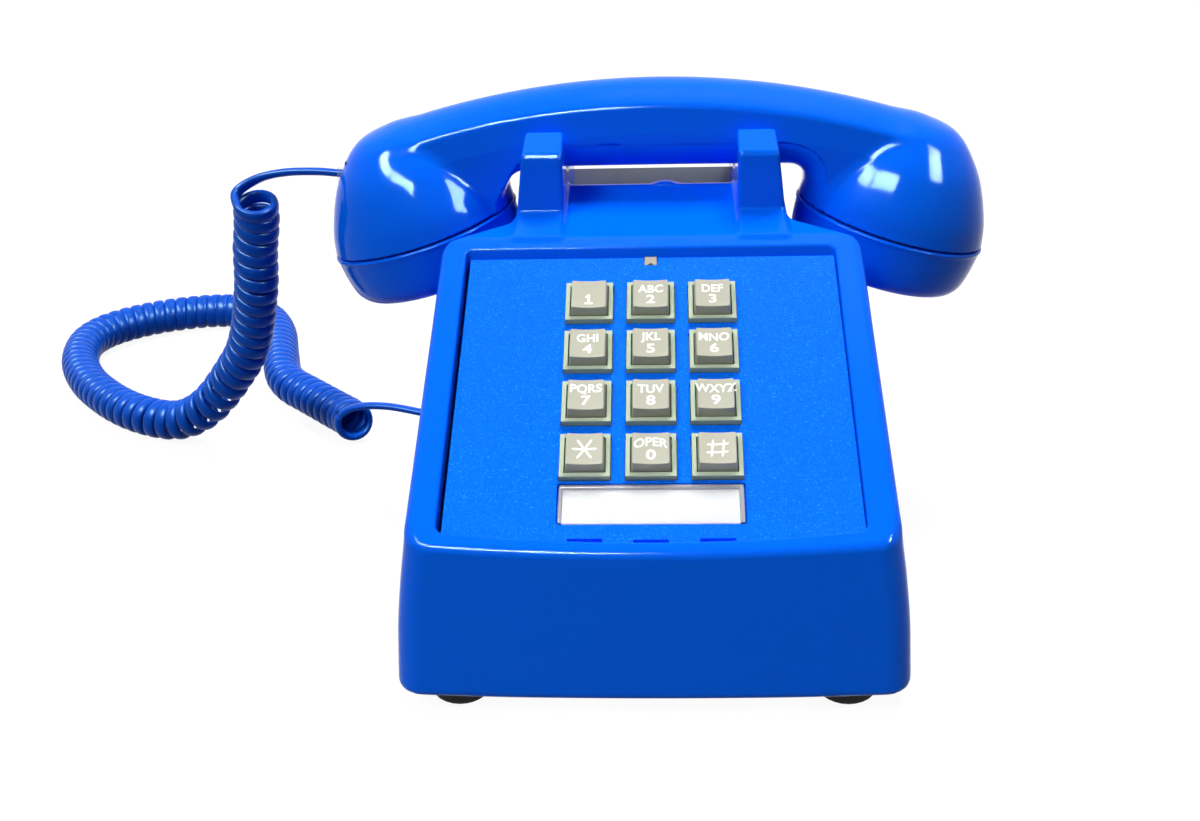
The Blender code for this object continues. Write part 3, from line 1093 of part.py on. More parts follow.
clear_scene()
PARTS = new_collection("desk_telephone")
TOOLS = new_collection("cutters")
FACE = bpy.data.objects.new("face_plane", None)
PARTS.objects.link(place(FACE, KEYPAD_CENTRE, (FACE_TILT, 0, 0)))
CUP_AXES = {}
for axis_name, direction in (("transmitter_axis", -1), ("receiver_axis", 1)):
    axis = bpy.data.objects.new(axis_name, None)
    place(axis, (HANDSET_X + direction * CUP_X, HANDSET_Y, CUP_SEAM_HEIGHT), (0, direction * CUP_TILT, 0))
    PARTS.objects.link(axis)
    CUP_AXES[direction] = axis
bpy.context.view_layer.update()

make_housing()
make_grip_rail()
make_base()
make_faceplate()
make_card()
make_keypad()
make_hook_switch()
make_ringer()
make_volume_wheel()
make_network()
make_handset()
make_jack("handset_jack", LEFT_JACK)
make_jack("line_jack", REAR_JACK)
make_jack("handset_end_jack", END_JACK)
make_plug("base_plug", LEFT_JACK)
make_plug("handset_plug", END_JACK)
make_cord()
bpy.context.view_layer.update()
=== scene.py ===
"""The blue push-button desk telephone: its surfaces, cord, lettering, finishes, light and camera."""

import json
import math

import bmesh
import bpy
import numpy as np
from mathutils import Matrix, Vector


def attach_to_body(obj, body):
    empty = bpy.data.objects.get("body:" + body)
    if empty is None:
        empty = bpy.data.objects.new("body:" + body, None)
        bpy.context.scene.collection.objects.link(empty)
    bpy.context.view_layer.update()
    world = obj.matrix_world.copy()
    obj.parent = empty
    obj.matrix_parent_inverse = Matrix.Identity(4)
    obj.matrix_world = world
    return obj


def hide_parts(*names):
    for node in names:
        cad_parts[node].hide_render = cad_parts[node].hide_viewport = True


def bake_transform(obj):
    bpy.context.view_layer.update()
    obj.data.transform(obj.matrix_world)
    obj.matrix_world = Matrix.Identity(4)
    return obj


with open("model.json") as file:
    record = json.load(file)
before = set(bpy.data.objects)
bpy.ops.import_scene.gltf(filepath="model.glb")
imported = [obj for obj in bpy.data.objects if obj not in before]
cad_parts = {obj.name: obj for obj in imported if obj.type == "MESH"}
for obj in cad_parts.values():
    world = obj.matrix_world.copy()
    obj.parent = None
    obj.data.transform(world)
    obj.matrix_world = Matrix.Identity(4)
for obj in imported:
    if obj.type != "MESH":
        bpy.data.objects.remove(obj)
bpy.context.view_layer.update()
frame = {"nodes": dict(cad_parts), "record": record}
MM = 0.001
NODES = frame["nodes"]
SLOT_OF = {part["node"]: part["material_slot"] for part in frame["record"]["subparts"]}

# ---------------------------------------------------------------- sizes in millimetres
# Housing: its ends and rim, its half width at each height, how its ends lean and bow, its edges.
FRONT_Y, REAR_Y = -107.5, 107.5
RIM, WALL = 6.3, 2.6
SIDE_TABLE = ((0, 73.7), (6.3, 73.6), (26, 72.9), (42, 71.1), (49.3, 69.8), (160, 64.7))
FRONT_LEAN, REAR_LEAN, FRONT_BOW = 0.186, 0.05, 2.4
FRONT_CORNER, REAR_CORNER = 8, 17
SIDE_EDGE, EDGE_LESS_IN_FRONT, NECK_EDGE = 3.2, 1.9, 1.8
# Sloping face: its tilt, the keypad's middle, the opening for the face plate and the plate's seat.
FACE_TILT = math.radians(31)
FACE_C, FACE_S = math.cos(FACE_TILT), math.sin(FACE_TILT)
KEYPAD_Y, KEYPAD_Z = -46.786, 80.975
OPENING_TOP, OPENING_BOTTOM, OPENING_BOW = 48.2, 53.9, 3.4
OPENING_HALF, OPENING_SPREAD = 59.9, 1.5
PLATE_SEAT, SEAT_SLOPE, SEAT_EDGE, PLATE_GAP = 4.3, 0.7, 0.7, 0.6
# Neck, shoulders and cradle.
FACE_TOP_Z, DECK_REAR = 109.25, (85.3, 103.25)
NECK_HALF, EAR_INNER = 44.5, 28.4
SHOULDER_Y, SHOULDER_Z, SHOULDER_SLANT, SCOOP_RADIUS = 12.87, 72, 0.62, 28
EAR_TAPER, EAR_EDGE, EAR_REACH, EAR_FILLET = 0.12, 1.3, 14, 1.8
PLUNGER_X, PLUNGER_HOLE = 36, 4.1
RAIL_PLACE, RAIL_LEAN = (0, 69.6, 106.8), math.radians(33)
RAIL_BUMP_X, RAIL_BUMP_Y, RAIL_BUMP_Z, RAIL_BUMP_RADIUS = 4.9, 38.3, 109.9, 7.5
# Handset: its middle, the arch of its crown, the creases beside it, its ends, its cups.
HANDSET_X, HANDSET_Y = 1.5, 45.272
HANDLE_TOP, HANDLE_ARCH = 151.1, 290
CREASE_HALF, CREASE_SPREAD, HANDLE_HALF, CROWN_DROP = 15, 1.8, 17, 6.4
HANDLE_EDGE, UNDER_STEP = 0.9, 0.5
NOSE_START, NOSE_DROP, NOSE_END = 88, 0.035, 97
CUP_X, CUP_SEAM, CUP_RADIUS, CUP_RISE, CUP_TILT = 81.482, 101.5, 33.1, 36.5, math.radians(16)
CUP_FILLET, SHELL = 1.8, 2.4
# Each jack: the middle and the half sizes of the room that is cut for it.
CORD_JACK = (-73, 69.27, 16.5), (11, 6.6, 6.0)
LINE_JACK = (-30, 106.6, 16.5), (6.6, 11, 6.0)
HANDSET_JACK = (-107.5, HANDSET_Y, 119.5), (11, 3.95, 3.75)
# Keypad and number card.
KEY_PITCH = 19.05
CARD_V, CARD_W = -43.93, -3.05
EDGE_ROUND, SHARP_ANGLE, BEVEL_ANGLE = 0.25, math.radians(50), math.radians(40)
KEYS = (("button_1", "1", ""), ("button_2", "2", "ABC"), ("button_3", "3", "DEF"),
        ("button_4", "4", "GHI"), ("button_5", "5", "JKL"), ("button_6", "6", "MNO"),
        ("button_7", "7", "PQRS"), ("button_8", "8", "TUV"), ("button_9", "9", "WXYZ"),
        ("button_star", "*", ""), ("button_0", "0", "OPER"), ("button_pound", "#", ""))


# ---------------------------------------------------------------- camera
CAMERA_PLACE, CAMERA_LENS = (3.6, -444.2, 246.7), 43.2
CAMERA_YAW, CAMERA_PITCH, CAMERA_ROLL = math.radians(-2.75), math.radians(24.03), math.radians(-1.59)


def make_camera():
    """The photo's point of view, fitted to the keys and the handset."""
    yaw, pitch, roll = CAMERA_YAW, CAMERA_PITCH, CAMERA_ROLL
    level = math.cos(pitch)
    forward = Vector((math.sin(yaw) * level, math.cos(yaw) * level, -math.sin(pitch)))
    right = Vector((math.cos(yaw), -math.sin(yaw), 0))
    up = right.cross(forward)
    x = right * math.cos(roll) + up * math.sin(roll)
    y = up * math.cos(roll) - right * math.sin(roll)
    camera = link(bpy.data.objects.new("camera", bpy.data.cameras.new("camera")))
    turn = Matrix((x, y, -forward)).transposed().to_4x4()
    camera.matrix_world = Matrix.Translation(Vector(CAMERA_PLACE) * MM) @ turn
    camera.data.lens = CAMERA_LENS
    camera.data.sensor_width = 36
    camera.data.sensor_fit = "HORIZONTAL"
    camera.data.clip_start = 0.01
    bpy.context.scene.camera = camera


# ---------------------------------------------------------------- mesh helpers
def link(obj):
    bpy.context.scene.collection.objects.link(obj)
    return obj


def mesh_from_arrays(name, points, faces, normals=None):
    """A smooth mesh from points in millimetres and equal-sided faces."""
    mesh = bpy.data.meshes.new(name)
    count, sides = faces.shape
    mesh.vertices.add(len(points))
    mesh.vertices.foreach_set("co", (points * MM).astype(np.float32).ravel())
    mesh.loops.add(count * sides)
    mesh.loops.foreach_set("vertex_index", faces.astype(np.int32).ravel())
    mesh.polygons.add(count)
    mesh.polygons.foreach_set("loop_start", np.arange(0, count * sides, sides, dtype=np.int32))
    mesh.update(calc_edges=True)
    mesh.shade_smooth()
    if normals is not None:
        mesh.normals_split_custom_set_from_vertices(normals.astype(np.float32))
    return link(bpy.data.objects.new(name, mesh))


def tube_faces(rows, sides):
    """Four-sided faces between closed rings of points that follow each other."""
    index = np.arange(rows * sides).reshape(rows, sides)
    ahead = np.roll(index, -1, 1)
    return np.stack([index[:-1], index[1:], ahead[1:], ahead[:-1]], -1).reshape(-1, 4)


def attach(obj, body, material, *nodes):
    """Give a piece its finish, let it ride on a body and stand for CAD nodes."""
    obj.data.materials.clear()
    obj.data.materials.append(material)
    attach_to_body(obj, body)
    if nodes:
        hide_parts(*nodes)
    return obj


# ---------------------------------------------------------------- forms as distance functions
def round_max(a, b, radius):
    """Intersection of two forms, with a rounded edge."""
    corner = np.hypot(np.maximum(radius + a, 0), np.maximum(radius + b, 0))
    return np.minimum(-radius, np.maximum(a, b)) + corner


def round_min(a, b, radius):
    """Union of two forms, with a fillet between them."""
    return -round_max(-a, -b, radius)


def box_distance(offsets, halves):
    """Distance to a box, from offsets along its three axes."""
    return np.maximum.reduce([np.abs(offset) - half for offset, half in zip(offsets, halves)])


def polygon_distance(u, v, corners):
    """Signed distance to a closed polygon, negative inside."""
    best = np.full(u.shape, 1e9)
    inside = np.zeros(u.shape, bool)
    for (u0, v0), (u1, v1) in zip(corners, corners[1:] + corners[:1]):
        du, dv = u1 - u0, v1 - v0
        share = np.clip(((u - u0) * du + (v - v0) * dv) / (du * du + dv * dv), 0, 1)
        best = np.minimum(best, np.hypot(u - u0 - share * du, v - v0 - share * dv))
        crosses = (v0 > v) != (v1 > v)
        if dv:
            inside ^= crosses & (u < u0 + (v - v0) * du / dv)
    return np.where(inside, -best, best)


class Profile:
    """A turned form's distance, read from a fine table of radius and height."""

    STEP = 0.25

    def __init__(self, corners, reach=60, low=-40, high=60):
        self.low = low
        radii, heights = np.meshgrid(np.arange(0, reach, self.STEP), np.arange(low, high, self.STEP),
                                     indexing="ij")
        self.table = polygon_distance(radii, heights, corners)

    def __call__(self, radius, height):
        i = np.clip(radius / self.STEP, 0, self.table.shape[0] - 1.001)
        j = np.clip((height - self.low) / self.STEP, 0, self.table.shape[1] - 1.001)
        i0, j0 = i.astype(int), j.astype(int)
        a, b = i - i0, j - j0
        table = self.table
        return ((table[i0, j0] * (1 - a) + table[i0 + 1, j0] * a) * (1 - b)
                + (table[i0, j0 + 1] * (1 - a) + table[i0 + 1, j0 + 1] * a) * b)


def grid_planes(low, high, step, fine_zones=(), fine=0.4):
    """Grid positions along one axis, closer together in the fine zones."""
    planes = [low]
    while planes[-1] < high:
        here = planes[-1]
        away = min([max(start - here, here - end, 0) for start, end in fine_zones] + [1e9])
        planes.append(here + min(step, fine + 0.35 * away))
    return np.array(planes)


# A grid cell's twelve edges, each from its first corner to its second.
EDGES = [((0, 0, 0), (1, 0, 0)), ((0, 1, 0), (1, 1, 0)), ((0, 0, 1), (1, 0, 1)), ((0, 1, 1), (1, 1, 1)),
         ((0, 0, 0), (0, 1, 0)), ((1, 0, 0), (1, 1, 0)), ((0, 0, 1), (0, 1, 1)), ((1, 0, 1), (1, 1, 1)),
         ((0, 0, 0), (0, 0, 1)), ((1, 0, 0), (1, 0, 1)), ((0, 1, 0), (0, 1, 1)), ((1, 1, 0), (1, 1, 1))]


def cell_points(values, planes):
    """One point in each cell that the surface crosses: the mean of its edges' crossings."""
    inside = values < 0
    nx, ny, nz = (length - 1 for length in inside.shape)
    count = sum(inside[a:a + nx, b:b + ny, c:c + nz].astype(np.int8)
                for a in (0, 1) for b in (0, 1) for c in (0, 1))
    cells = np.argwhere((count > 0) & (count < 8))
    total, hits = np.zeros((len(cells), 3)), np.zeros(len(cells))
    for start, end in EDGES:
        a, b = cells + start, cells + end
        va, vb = values[tuple(a.T)], values[tuple(b.T)]
        crossed = (va < 0) != (vb < 0)
        share = np.where(crossed, va / np.where(crossed, va - vb, 1), 0)[:, None]
        pa = np.stack([planes[k][a[:, k]] for k in range(3)], 1)
        pb = np.stack([planes[k][b[:, k]] for k in range(3)], 1)
        total += np.where(crossed[:, None], pa + share * (pb - pa), 0)
        hits += crossed
    return cells, total / hits[:, None]


def cell_faces(values, cells):
    """A four-sided face across each grid edge that the surface crosses."""
    shape = tuple(n - 1 for n in values.shape)
    index = np.full(shape, -1, np.int64)
    index[tuple(cells.T)] = np.arange(len(cells))
    inside = values < 0
    faces = []
    for axis in range(3):
        ahead = np.roll(inside, -1, axis)
        crossed = inside != ahead
        limits = [slice(1, n - 1) for n in values.shape]
        limits[axis] = slice(0, values.shape[axis] - 1)
        mask = np.zeros_like(crossed)
        mask[tuple(limits)] = crossed[tuple(limits)]
        at = np.argwhere(mask)
        j, k = (axis + 1) % 3, (axis + 2) % 3
        step_j, step_k = np.eye(3, dtype=int)[j], np.eye(3, dtype=int)[k]
        ring = [index[tuple((at - dj * step_j - dk * step_k).T)]
                for dj, dk in ((0, 0), (1, 0), (1, 1), (0, 1))]
        quads = np.stack(ring, 1)
        outward = inside[tuple(at.T)]
        quads[~outward] = quads[~outward][:, ::-1]
        faces.append(quads)
    return np.concatenate(faces)


def gradient(distance, points, step=0.02):
    """The distance's slope at each point, from four samples around it."""
    offsets = np.array([[1, -1, -1], [-1, -1, 1], [-1, 1, -1], [1, 1, 1]]) * step
    return sum(distance(*(points + offset).T)[:, None] * offset for offset in offsets) / (4 * step * step)


def skin(name, distance, planes, to_world=None, rounds=3):
    """A mesh of the surface where the distance is zero, with its normals from the form itself."""
    grid = np.stack(np.meshgrid(*planes, indexing="ij"), -1)
    world = grid if to_world is None else to_world(grid)
    values = distance(world[..., 0], world[..., 1], world[..., 2])
    cells, points = cell_points(values, planes)
    faces = cell_faces(values, cells)
    if to_world is not None:
        points = to_world(points)
    for _ in range(rounds):
        slope = gradient(distance, points)
        move = distance(*points.T)[:, None] * slope / np.maximum((slope ** 2).sum(1), 0.2)[:, None]
        reach = np.linalg.norm(move, axis=1, keepdims=True)
        points = points - move * np.minimum(1, 0.5 / np.maximum(reach, 1e-9))
    normals = gradient(distance, points)
    normals /= np.maximum(np.linalg.norm(normals, axis=1, keepdims=True), 1e-9)
    return mesh_from_arrays(name, points, faces, normals)


# ---------------------------------------------------------------- housing
def face_point(v, w):
    """Depth (y) and height (z) in the telephone of a point along (v) and above (w) the sloping face."""
    return KEYPAD_Y + v * FACE_C - w * FACE_S, KEYPAD_Z + v * FACE_S + w * FACE_C


def face_axes(y, z):
    """How far a point lies along (v) and above (w) the sloping face."""
    dy, dz = y - KEYPAD_Y, z - KEYPAD_Z
    return dy * FACE_C + dz * FACE_S, dz * FACE_C - dy * FACE_S


def face_frame(grid):
    """From positions across, along and above the sloping face to the telephone's own axes."""
    return np.stack([grid[..., 0], *face_point(grid[..., 1], grid[..., 2])], -1)


def smooth_table(corners, low, high, width, step=0.25):
    """A broken line, read finely and rounded where it bends."""
    at = np.arange(low, high, step)
    values = np.interp(at, [a for a, _ in corners], [b for _, b in corners])
    kernel = np.ones(int(width / step))
    padded = np.pad(values, len(kernel), mode="reflect", reflect_type="odd")
    soft = np.convolve(padded, kernel / kernel.sum(), "same")[len(kernel):-len(kernel)]
    return at, soft


SIDE_HALVES = smooth_table(SIDE_TABLE, 0, 165, 12)
DECK = smooth_table(((-150, 82), (0.27, 109.25), (38.27, 116.35), (43.3, 114.9), (62.3, 108.45),
                     DECK_REAR, (140, 91)), -150, 140, 2.5)


def opening_outline(x, v, rise=0):
    """Distance to the face plate's opening, in the face's plane; its upper wall may slope."""
    half = OPENING_HALF - (v + OPENING_BOTTOM) * OPENING_SPREAD / (OPENING_BOTTOM + OPENING_TOP)
    sides = np.abs(x + PLATE_GAP / 2) - half - PLATE_GAP / 2
    bottom = -OPENING_BOTTOM - OPENING_BOW * (1 - (x / OPENING_HALF) ** 2) - v
    return np.maximum(round_max(sides, v - OPENING_TOP - rise, 2), round_max(sides, bottom, 2.4))


def main_form(x, y, z, rounded):
    """The housing without its ears: sides, sloping face, deck, neck and shoulders.

    A factor beside a sloping side brings its distance back to about millimetres."""
    ax = np.abs(x)
    half = np.interp(z, *SIDE_HALVES)
    side = ax - half
    front = (FRONT_Y + FRONT_LEAN * (z - RIM) + FRONT_BOW * (ax / half) ** 2 - y) * 0.983
    rear = y - (REAR_Y - REAR_LEAN * (z - RIM))
    _, face = face_axes(y, z)
    deck = (z - np.interp(y, *DECK)) * 0.97
    back = ((y - DECK_REAR[0]) * 2 + (z - DECK_REAR[1])) / math.sqrt(5)
    top = np.maximum(round_max(face, deck, 0.5), back)
    plan = np.maximum(round_max(side, front, FRONT_CORNER), round_max(side, rear, REAR_CORNER))
    if rounded:
        along = np.clip((front - side) / 8 + 0.5, 0, 1)
        edge = SIDE_EDGE - EDGE_LESS_IN_FRONT * along * along * (3 - 2 * along)
        top = np.maximum(top, round_max(deck, back, 2.5))
        body = round_max(plan, top, edge)
    else:
        body = np.maximum(plan, top)
    scoop = round_min((ax - NECK_HALF) * 0.9, (z - SHOULDER_Z) * 1.12, SCOOP_RADIUS)
    slant = (y - (SHOULDER_Y - SHOULDER_SLANT * (ax - NECK_HALF))) * 0.85
    neck = round_min(scoop, slant, 3)
    return round_max(body, neck, NECK_EDGE if rounded else 0.2)


# A cheek seen from the side, as depth and height: front ear, saddle between the ears, rear ear.
EAR_CORNERS = [(0, 100), (0, 109.4), (12.5, 114.0), (12.872, 114.64), (12.872, 131.7), (13.9, 133.47),
               (24.472, 138), (27.4, 132.6), (31.3, 126.1), (38, 122.4),
               (42.3, 121.5), (48.3, 121.5), (52.6, 122.4), (59.3, 126.1), (63.2, 132.6), (66.07, 138),
               (77.67, 133.6), (77.67, 100)]


def inset_corners(corners, distance):
    """Move each side of a clockwise outline inwards by the distance."""
    result = []
    for before, here, after in zip(corners[-1:] + corners[:-1], corners, corners[1:] + corners[:1]):
        first = Vector((here[0] - before[0], here[1] - before[1])).normalized()
        second = Vector((after[0] - here[0], after[1] - here[1])).normalized()
        normal = Vector((first.y + second.y, -first.x - second.x)).normalized()
        reach = distance / max(0.3, normal.dot(Vector((first.y, -first.x))))
        result.append((here[0] + normal.x * reach, here[1] + normal.y * reach))
    return result


EAR_ROUND = 0.6
EAR_INSET = inset_corners(EAR_CORNERS, EAR_ROUND)


def ears(x, y, z):
    """The cradle's two cheeks, each with a front and a rear ear."""
    ax = np.abs(x)
    outer = NECK_HALF - EAR_TAPER * np.maximum(z - FACE_TOP_Z, 0)
    across = np.maximum(EAR_INNER - ax, ax - outer)
    near = (across < EAR_REACH) & (z > 88) & (y > -12) & (y < 92)
    distance = np.full(x.shape, float(EAR_REACH))
    profile = polygon_distance(y[near], z[near], EAR_INSET) - EAR_ROUND
    distance[near] = round_max(profile, across[near], EAR_EDGE)
    return distance


def jack_room(x, y, z, jack):
    """Distance to the room that is cut for a jack."""
    centre, halves = jack
    return box_distance((x - centre[0], y - centre[1], z - centre[2]), halves)


def plate_seat(x, v, w):
    """The form that is cut for the face plate: sloped walls down to the ledge it lies on."""
    sloped = opening_outline(x, v, SEAT_SLOPE * np.clip(w + 3, 0, 3.3))
    return np.maximum(sloped, -PLATE_SEAT - w)


def plate_hole(x, v, w):
    """The hole within the ledge; on the left it reaches the wall, so the plate's gap shows dark."""
    ledge = 3 * np.clip((x + 50) / 6, 0, 1)
    return np.maximum(opening_outline(x, v) + ledge, -10 - w)


def housing_distance(x, y, z):
    form = main_form(x, y, z, True)
    form = round_min(form, ears(x, y, z), EAR_FILLET)
    bump = np.maximum(np.hypot(x - RAIL_BUMP_X, z - RAIL_BUMP_Z) - RAIL_BUMP_RADIUS,
                      np.abs(y - RAIL_BUMP_Y) - 2)
    form = round_min(form, bump, 0.8)
    form = round_max(form, RIM - z, 2.4)
    form = np.maximum(form, -(main_form(x, y, z, False) + WALL))
    v, w = face_axes(y, z)
    form = np.minimum(form, np.maximum(opening_outline(x, v) - 2.2, np.abs(w + 3.45) - 2.45))
    form = round_max(form, -plate_seat(x, v, w), SEAT_EDGE)
    form = np.maximum(form, -plate_hole(x, v, w))
    plungers = np.maximum(np.hypot(np.abs(x) - PLUNGER_X, y - HANDSET_Y) - PLUNGER_HOLE, 104 - z)
    form = np.maximum(form, -plungers)
    form = np.maximum(form, -jack_room(x, y, z, CORD_JACK))
    return np.maximum(form, -jack_room(x, y, z, LINE_JACK))


def make_housing(material):
    step = 1.2
    sides = [(-60.5, -57.5), (-45, -42), (-29.2, -27.6), (27.6, 29.2), (42, 45), (57.5, 60.5)]
    planes = (grid_planes(-76, 76, step, sides, 0.45),
              grid_planes(-98, 142, step, [(-58.5, -52.5), (47, 51.5)], 0.45),
              grid_planes(-147, 46, step, [(-4.8, 0.8)], 0.45))
    housing = skin("housing_skin", housing_distance, planes, face_frame)
    return attach(housing, "telephone", material, "housing")


# ---------------------------------------------------------------- handset
# A cup's dome from its shoulder to its seam, as shares of the radius and of the rise.
DOME_SHAPE = [(0.28, 0.965), (0.46, 0.88), (0.61, 0.745), (0.72, 0.62), (0.80, 0.50), (0.885, 0.34),
              (0.955, 0.175), (1, 0)]


def spline_through(points, count):
    """A smooth curve through points in a plane, as a list of points."""
    ends = [tuple(2 * np.array(points[0]) - points[1])] + list(points)
    ends += [tuple(2 * np.array(points[-1]) - points[-2])]
    fine = []
    for before, a, b, after in zip(*(np.array(ends[i:len(ends) - 3 + i]) for i in range(4))):
        for t in np.arange(count) / count:
            fine.append(0.5 * (2 * a + (b - before) * t + (2 * before - 5 * a + 4 * b - after) * t * t
                               + (3 * a - 3 * b + after - before) * t ** 3))
    return [tuple(point) for point in fine] + [tuple(points[-1])]


def dome_corners():
    """The dome's side view, from its top to its seam."""
    shoulder_x, shoulder_z = DOME_SHAPE[0]
    mirrored = [(-shoulder_x, shoulder_z), (0, 1)] + DOME_SHAPE
    fine = [point for point in spline_through(mirrored, 10) if point[0] >= 0]
    return [(CUP_RADIUS * radius, CUP_RISE * height) for radius, height in fine]


DOME = Profile(dome_corners() + [(-CUP_RADIUS, 0), (-CUP_RADIUS, 20), (-9, CUP_RISE)])


def cup_axes(x, y, z):
    """Radius and height about the nearer cup's tilted axis."""
    ax = np.abs(x - HANDSET_X) - CUP_X
    c, s = math.cos(CUP_TILT), math.sin(CUP_TILT)
    along = ax * s + (z - CUP_SEAM) * c
    across = ax * c - (z - CUP_SEAM) * s
    return np.hypot(across, y - HANDSET_Y), along


def throat_outline(corners):
    """Distance to a side view's region that lies outside the throat, rounded where it bends."""
    soft = [(round(a, 2), round(b, 2)) for a, b in spline_through(corners, 6)]
    around = [(130, 85), (130, 180), (-60, 180), (-60, soft[0][1])]
    return Profile(soft + around, reach=130, low=85, high=180)


# The underside of the handle and its throats, out from the middle: where the flat sides end on
# the right and on the left, and where the round underside ends.
SIDE_RIGHT = throat_outline([
    (-2, 132.4), (30, 132.4), (41.4, 132.2), (48, 131.1), (53, 128.5), (56.2, 124.2), (57, 119),
    (57.3, 108.3), (57.4, 85)])
SIDE_LEFT = throat_outline([
    (-2, 132.4), (24, 132.4), (32, 132), (39, 130.3), (43.5, 127.9), (46.9, 125), (49.4, 121),
    (52.4, 115.5), (56.1, 109), (58, 104), (60, 85)])
INNER = throat_outline([
    (-2, 122), (30, 121.9), (43.5, 121.7), (47.6, 121.3), (50.2, 119.2), (51.1, 115.2), (51.2, 110.6),
    (51.3, 85)])


def handle_form(x, y, z):
    """The handle: a low crown between two creases, flat sides and a round underside and throat."""
    along = x - HANDSET_X
    ax, ay = np.abs(along), np.abs(y - HANDSET_Y)
    top = HANDLE_TOP - HANDLE_ARCH + np.sqrt(HANDLE_ARCH ** 2 - np.minimum(ax, 200) ** 2)
    top = top - NOSE_DROP * np.maximum(ax - NOSE_START, 0) ** 2
    crease_half = CREASE_HALF + CREASE_SPREAD * np.clip((ax - 50) / 34, 0, 1) ** 2
    crown = (z - (top - CROWN_DROP * (ay / crease_half) ** 2)) * 0.86
    outside = np.where(along > 0, SIDE_RIGHT(ax, z), SIDE_LEFT(ax, z))
    inner = INNER(ax, z)
    spread = np.clip((top - CROWN_DROP - z) / 9, -1, 1)
    flare = HANDLE_HALF - CREASE_HALF
    flank = ay - crease_half - flare * spread
    side_half = crease_half + flare - UNDER_STEP
    thick = np.maximum(outside - inner, 1)
    depth = np.maximum(outside, 0) / thick
    under = (np.hypot(ay / side_half, depth) - 1) * thick
    form = round_max(crown, flank, HANDLE_EDGE)
    return np.maximum(np.maximum(form, np.minimum(outside, under)), ax - NOSE_END)


def handset_distance(x, y, z):
    """Handle and cups in one, hollow within the cups and open below their seams."""
    radius, height = cup_axes(x, y, z)
    cup = DOME(radius, height)
    form = round_min(handle_form(x, y, z), cup, CUP_FILLET)
    form = round_max(form, np.where(radius < CUP_RADIUS + 12, -height, -50), 0.5)
    hollow = np.maximum(cup + SHELL, -height - 10)
    mouth = np.maximum(radius - CUP_RADIUS + SHELL, height - 5)
    form = np.maximum(form, -np.where(height < 1, mouth, hollow))
    return np.maximum(form, -jack_room(x, y, z, HANDSET_JACK))


def make_handset(material):
    step = 0.75
    planes = (grid_planes(-114, 117, step), grid_planes(10.5, 80, step), grid_planes(90, 153, step))
    handset = skin("handset_skin", handset_distance, planes)
    return attach(handset, "handset", material, "handset_handle")


def lathe(name, profile, segments, centre, tilt):
    """Turn a profile of radius and height about a cup's axis."""
    profile = np.array(profile)
    angles = np.arange(segments) * 2 * math.pi / segments
    c, s = math.cos(tilt), math.sin(tilt)
    x = profile[:, :1] * np.cos(angles)
    y = profile[:, :1] * np.sin(angles)
    z = np.repeat(profile[:, 1:], segments, 1)
    points = np.stack([centre[0] + x * c + z * s, centre[1] + y, centre[2] + z * c - x * s], -1)
    return mesh_from_arrays(name, points.reshape(-1, 3), tube_faces(len(profile), segments))


# A cap's profile as radius and height: its lip at the seam, its wall, its slightly hollow face.
CAP_OUTER = ((30.9, -0.5), (32.5, -0.5), (33.2, -0.7), (33.5, -1.25), (33.35, -1.9), (33.1, -3.0),
             (32.6, -8), (32.0, -11.6), (31.2, -14.6), (30.0, -16.7), (28.4, -18.1), (26.2, -18.6),
             (20, -18.3), (10, -17.7), (0.01, -17.4))
CAP_INNER = ((0.01, -15), (25, -16.1), (28.4, -13.5), (29.9, -6), (30.3, -1), (30.9, -0.5))


def make_cap(name, side, material):
    centre = (HANDSET_X + side * CUP_X, HANDSET_Y, CUP_SEAM)
    profile = spline_through(CAP_OUTER, 6) + list(CAP_INNER)
    cap = lathe(f"{name}_skin", profile, 128, centre, side * CUP_TILT)
    return attach(cap, "handset", material, name)


# ---------------------------------------------------------------- keys
KEY_TOP = 3.7
# A key as square rings of half width and height: dished top, rounded edge, skirt, flange, stem.
KEY_LAYERS = (*((half, KEY_TOP) for half in (0.001, 1.2, 2.4, 3.6, 4.5, 5.0)), (5.16, 3.67), (5.27, 3.58),
              (5.32, 3.42), (5.45, 1.8), (5.58, 0.6), (5.75, -1), (5.75, -6.8), (6.85, -6.8), (6.85, -8.3),
              (2.1, -8.3), (2.1, -11.2), (0.001, -11.2))
DISHED_ABOVE = 3
DISH, DISH_HALF = 0.75, 5.32
KEY_CORNER = 0.55
INK, STROKE_GROWTH = 0.05, 0.032


def dish_drop(u, v):
    """How far the dished top lies below its corners: deepest in the middle, more across than along."""
    across = np.clip(1 - (u / DISH_HALF) ** 2, 0, 1)
    along = np.clip(1 - (v / DISH_HALF) ** 2, 0, 1)
    return DISH * across * (0.65 + 0.35 * along)


def rounded_square(half, count=6, straight=10):
    """Points round a square with round corners, from its half width."""
    radius = min(KEY_CORNER, half * 0.5)
    angles = np.linspace(0, math.pi / 2, count)
    corner = np.stack([np.cos(angles), np.sin(angles)], 1) * radius + (half - radius)
    rest = np.linspace(half - radius, radius - half, straight)[1:-1]
    edge = np.concatenate([corner, np.column_stack([rest, np.full(len(rest), half)])])
    turns = [np.array([[c, -s], [s, c]]) for c, s in ((1, 0), (0, 1), (-1, 0), (0, -1))]
    return np.concatenate([edge @ turn.T for turn in turns])


def on_face(points, u, v):
    """Move points drawn on the keypad's plane to their place in the telephone."""
    return np.stack([points[:, 0] + u, *face_point(points[:, 1] + v, points[:, 2])], 1)


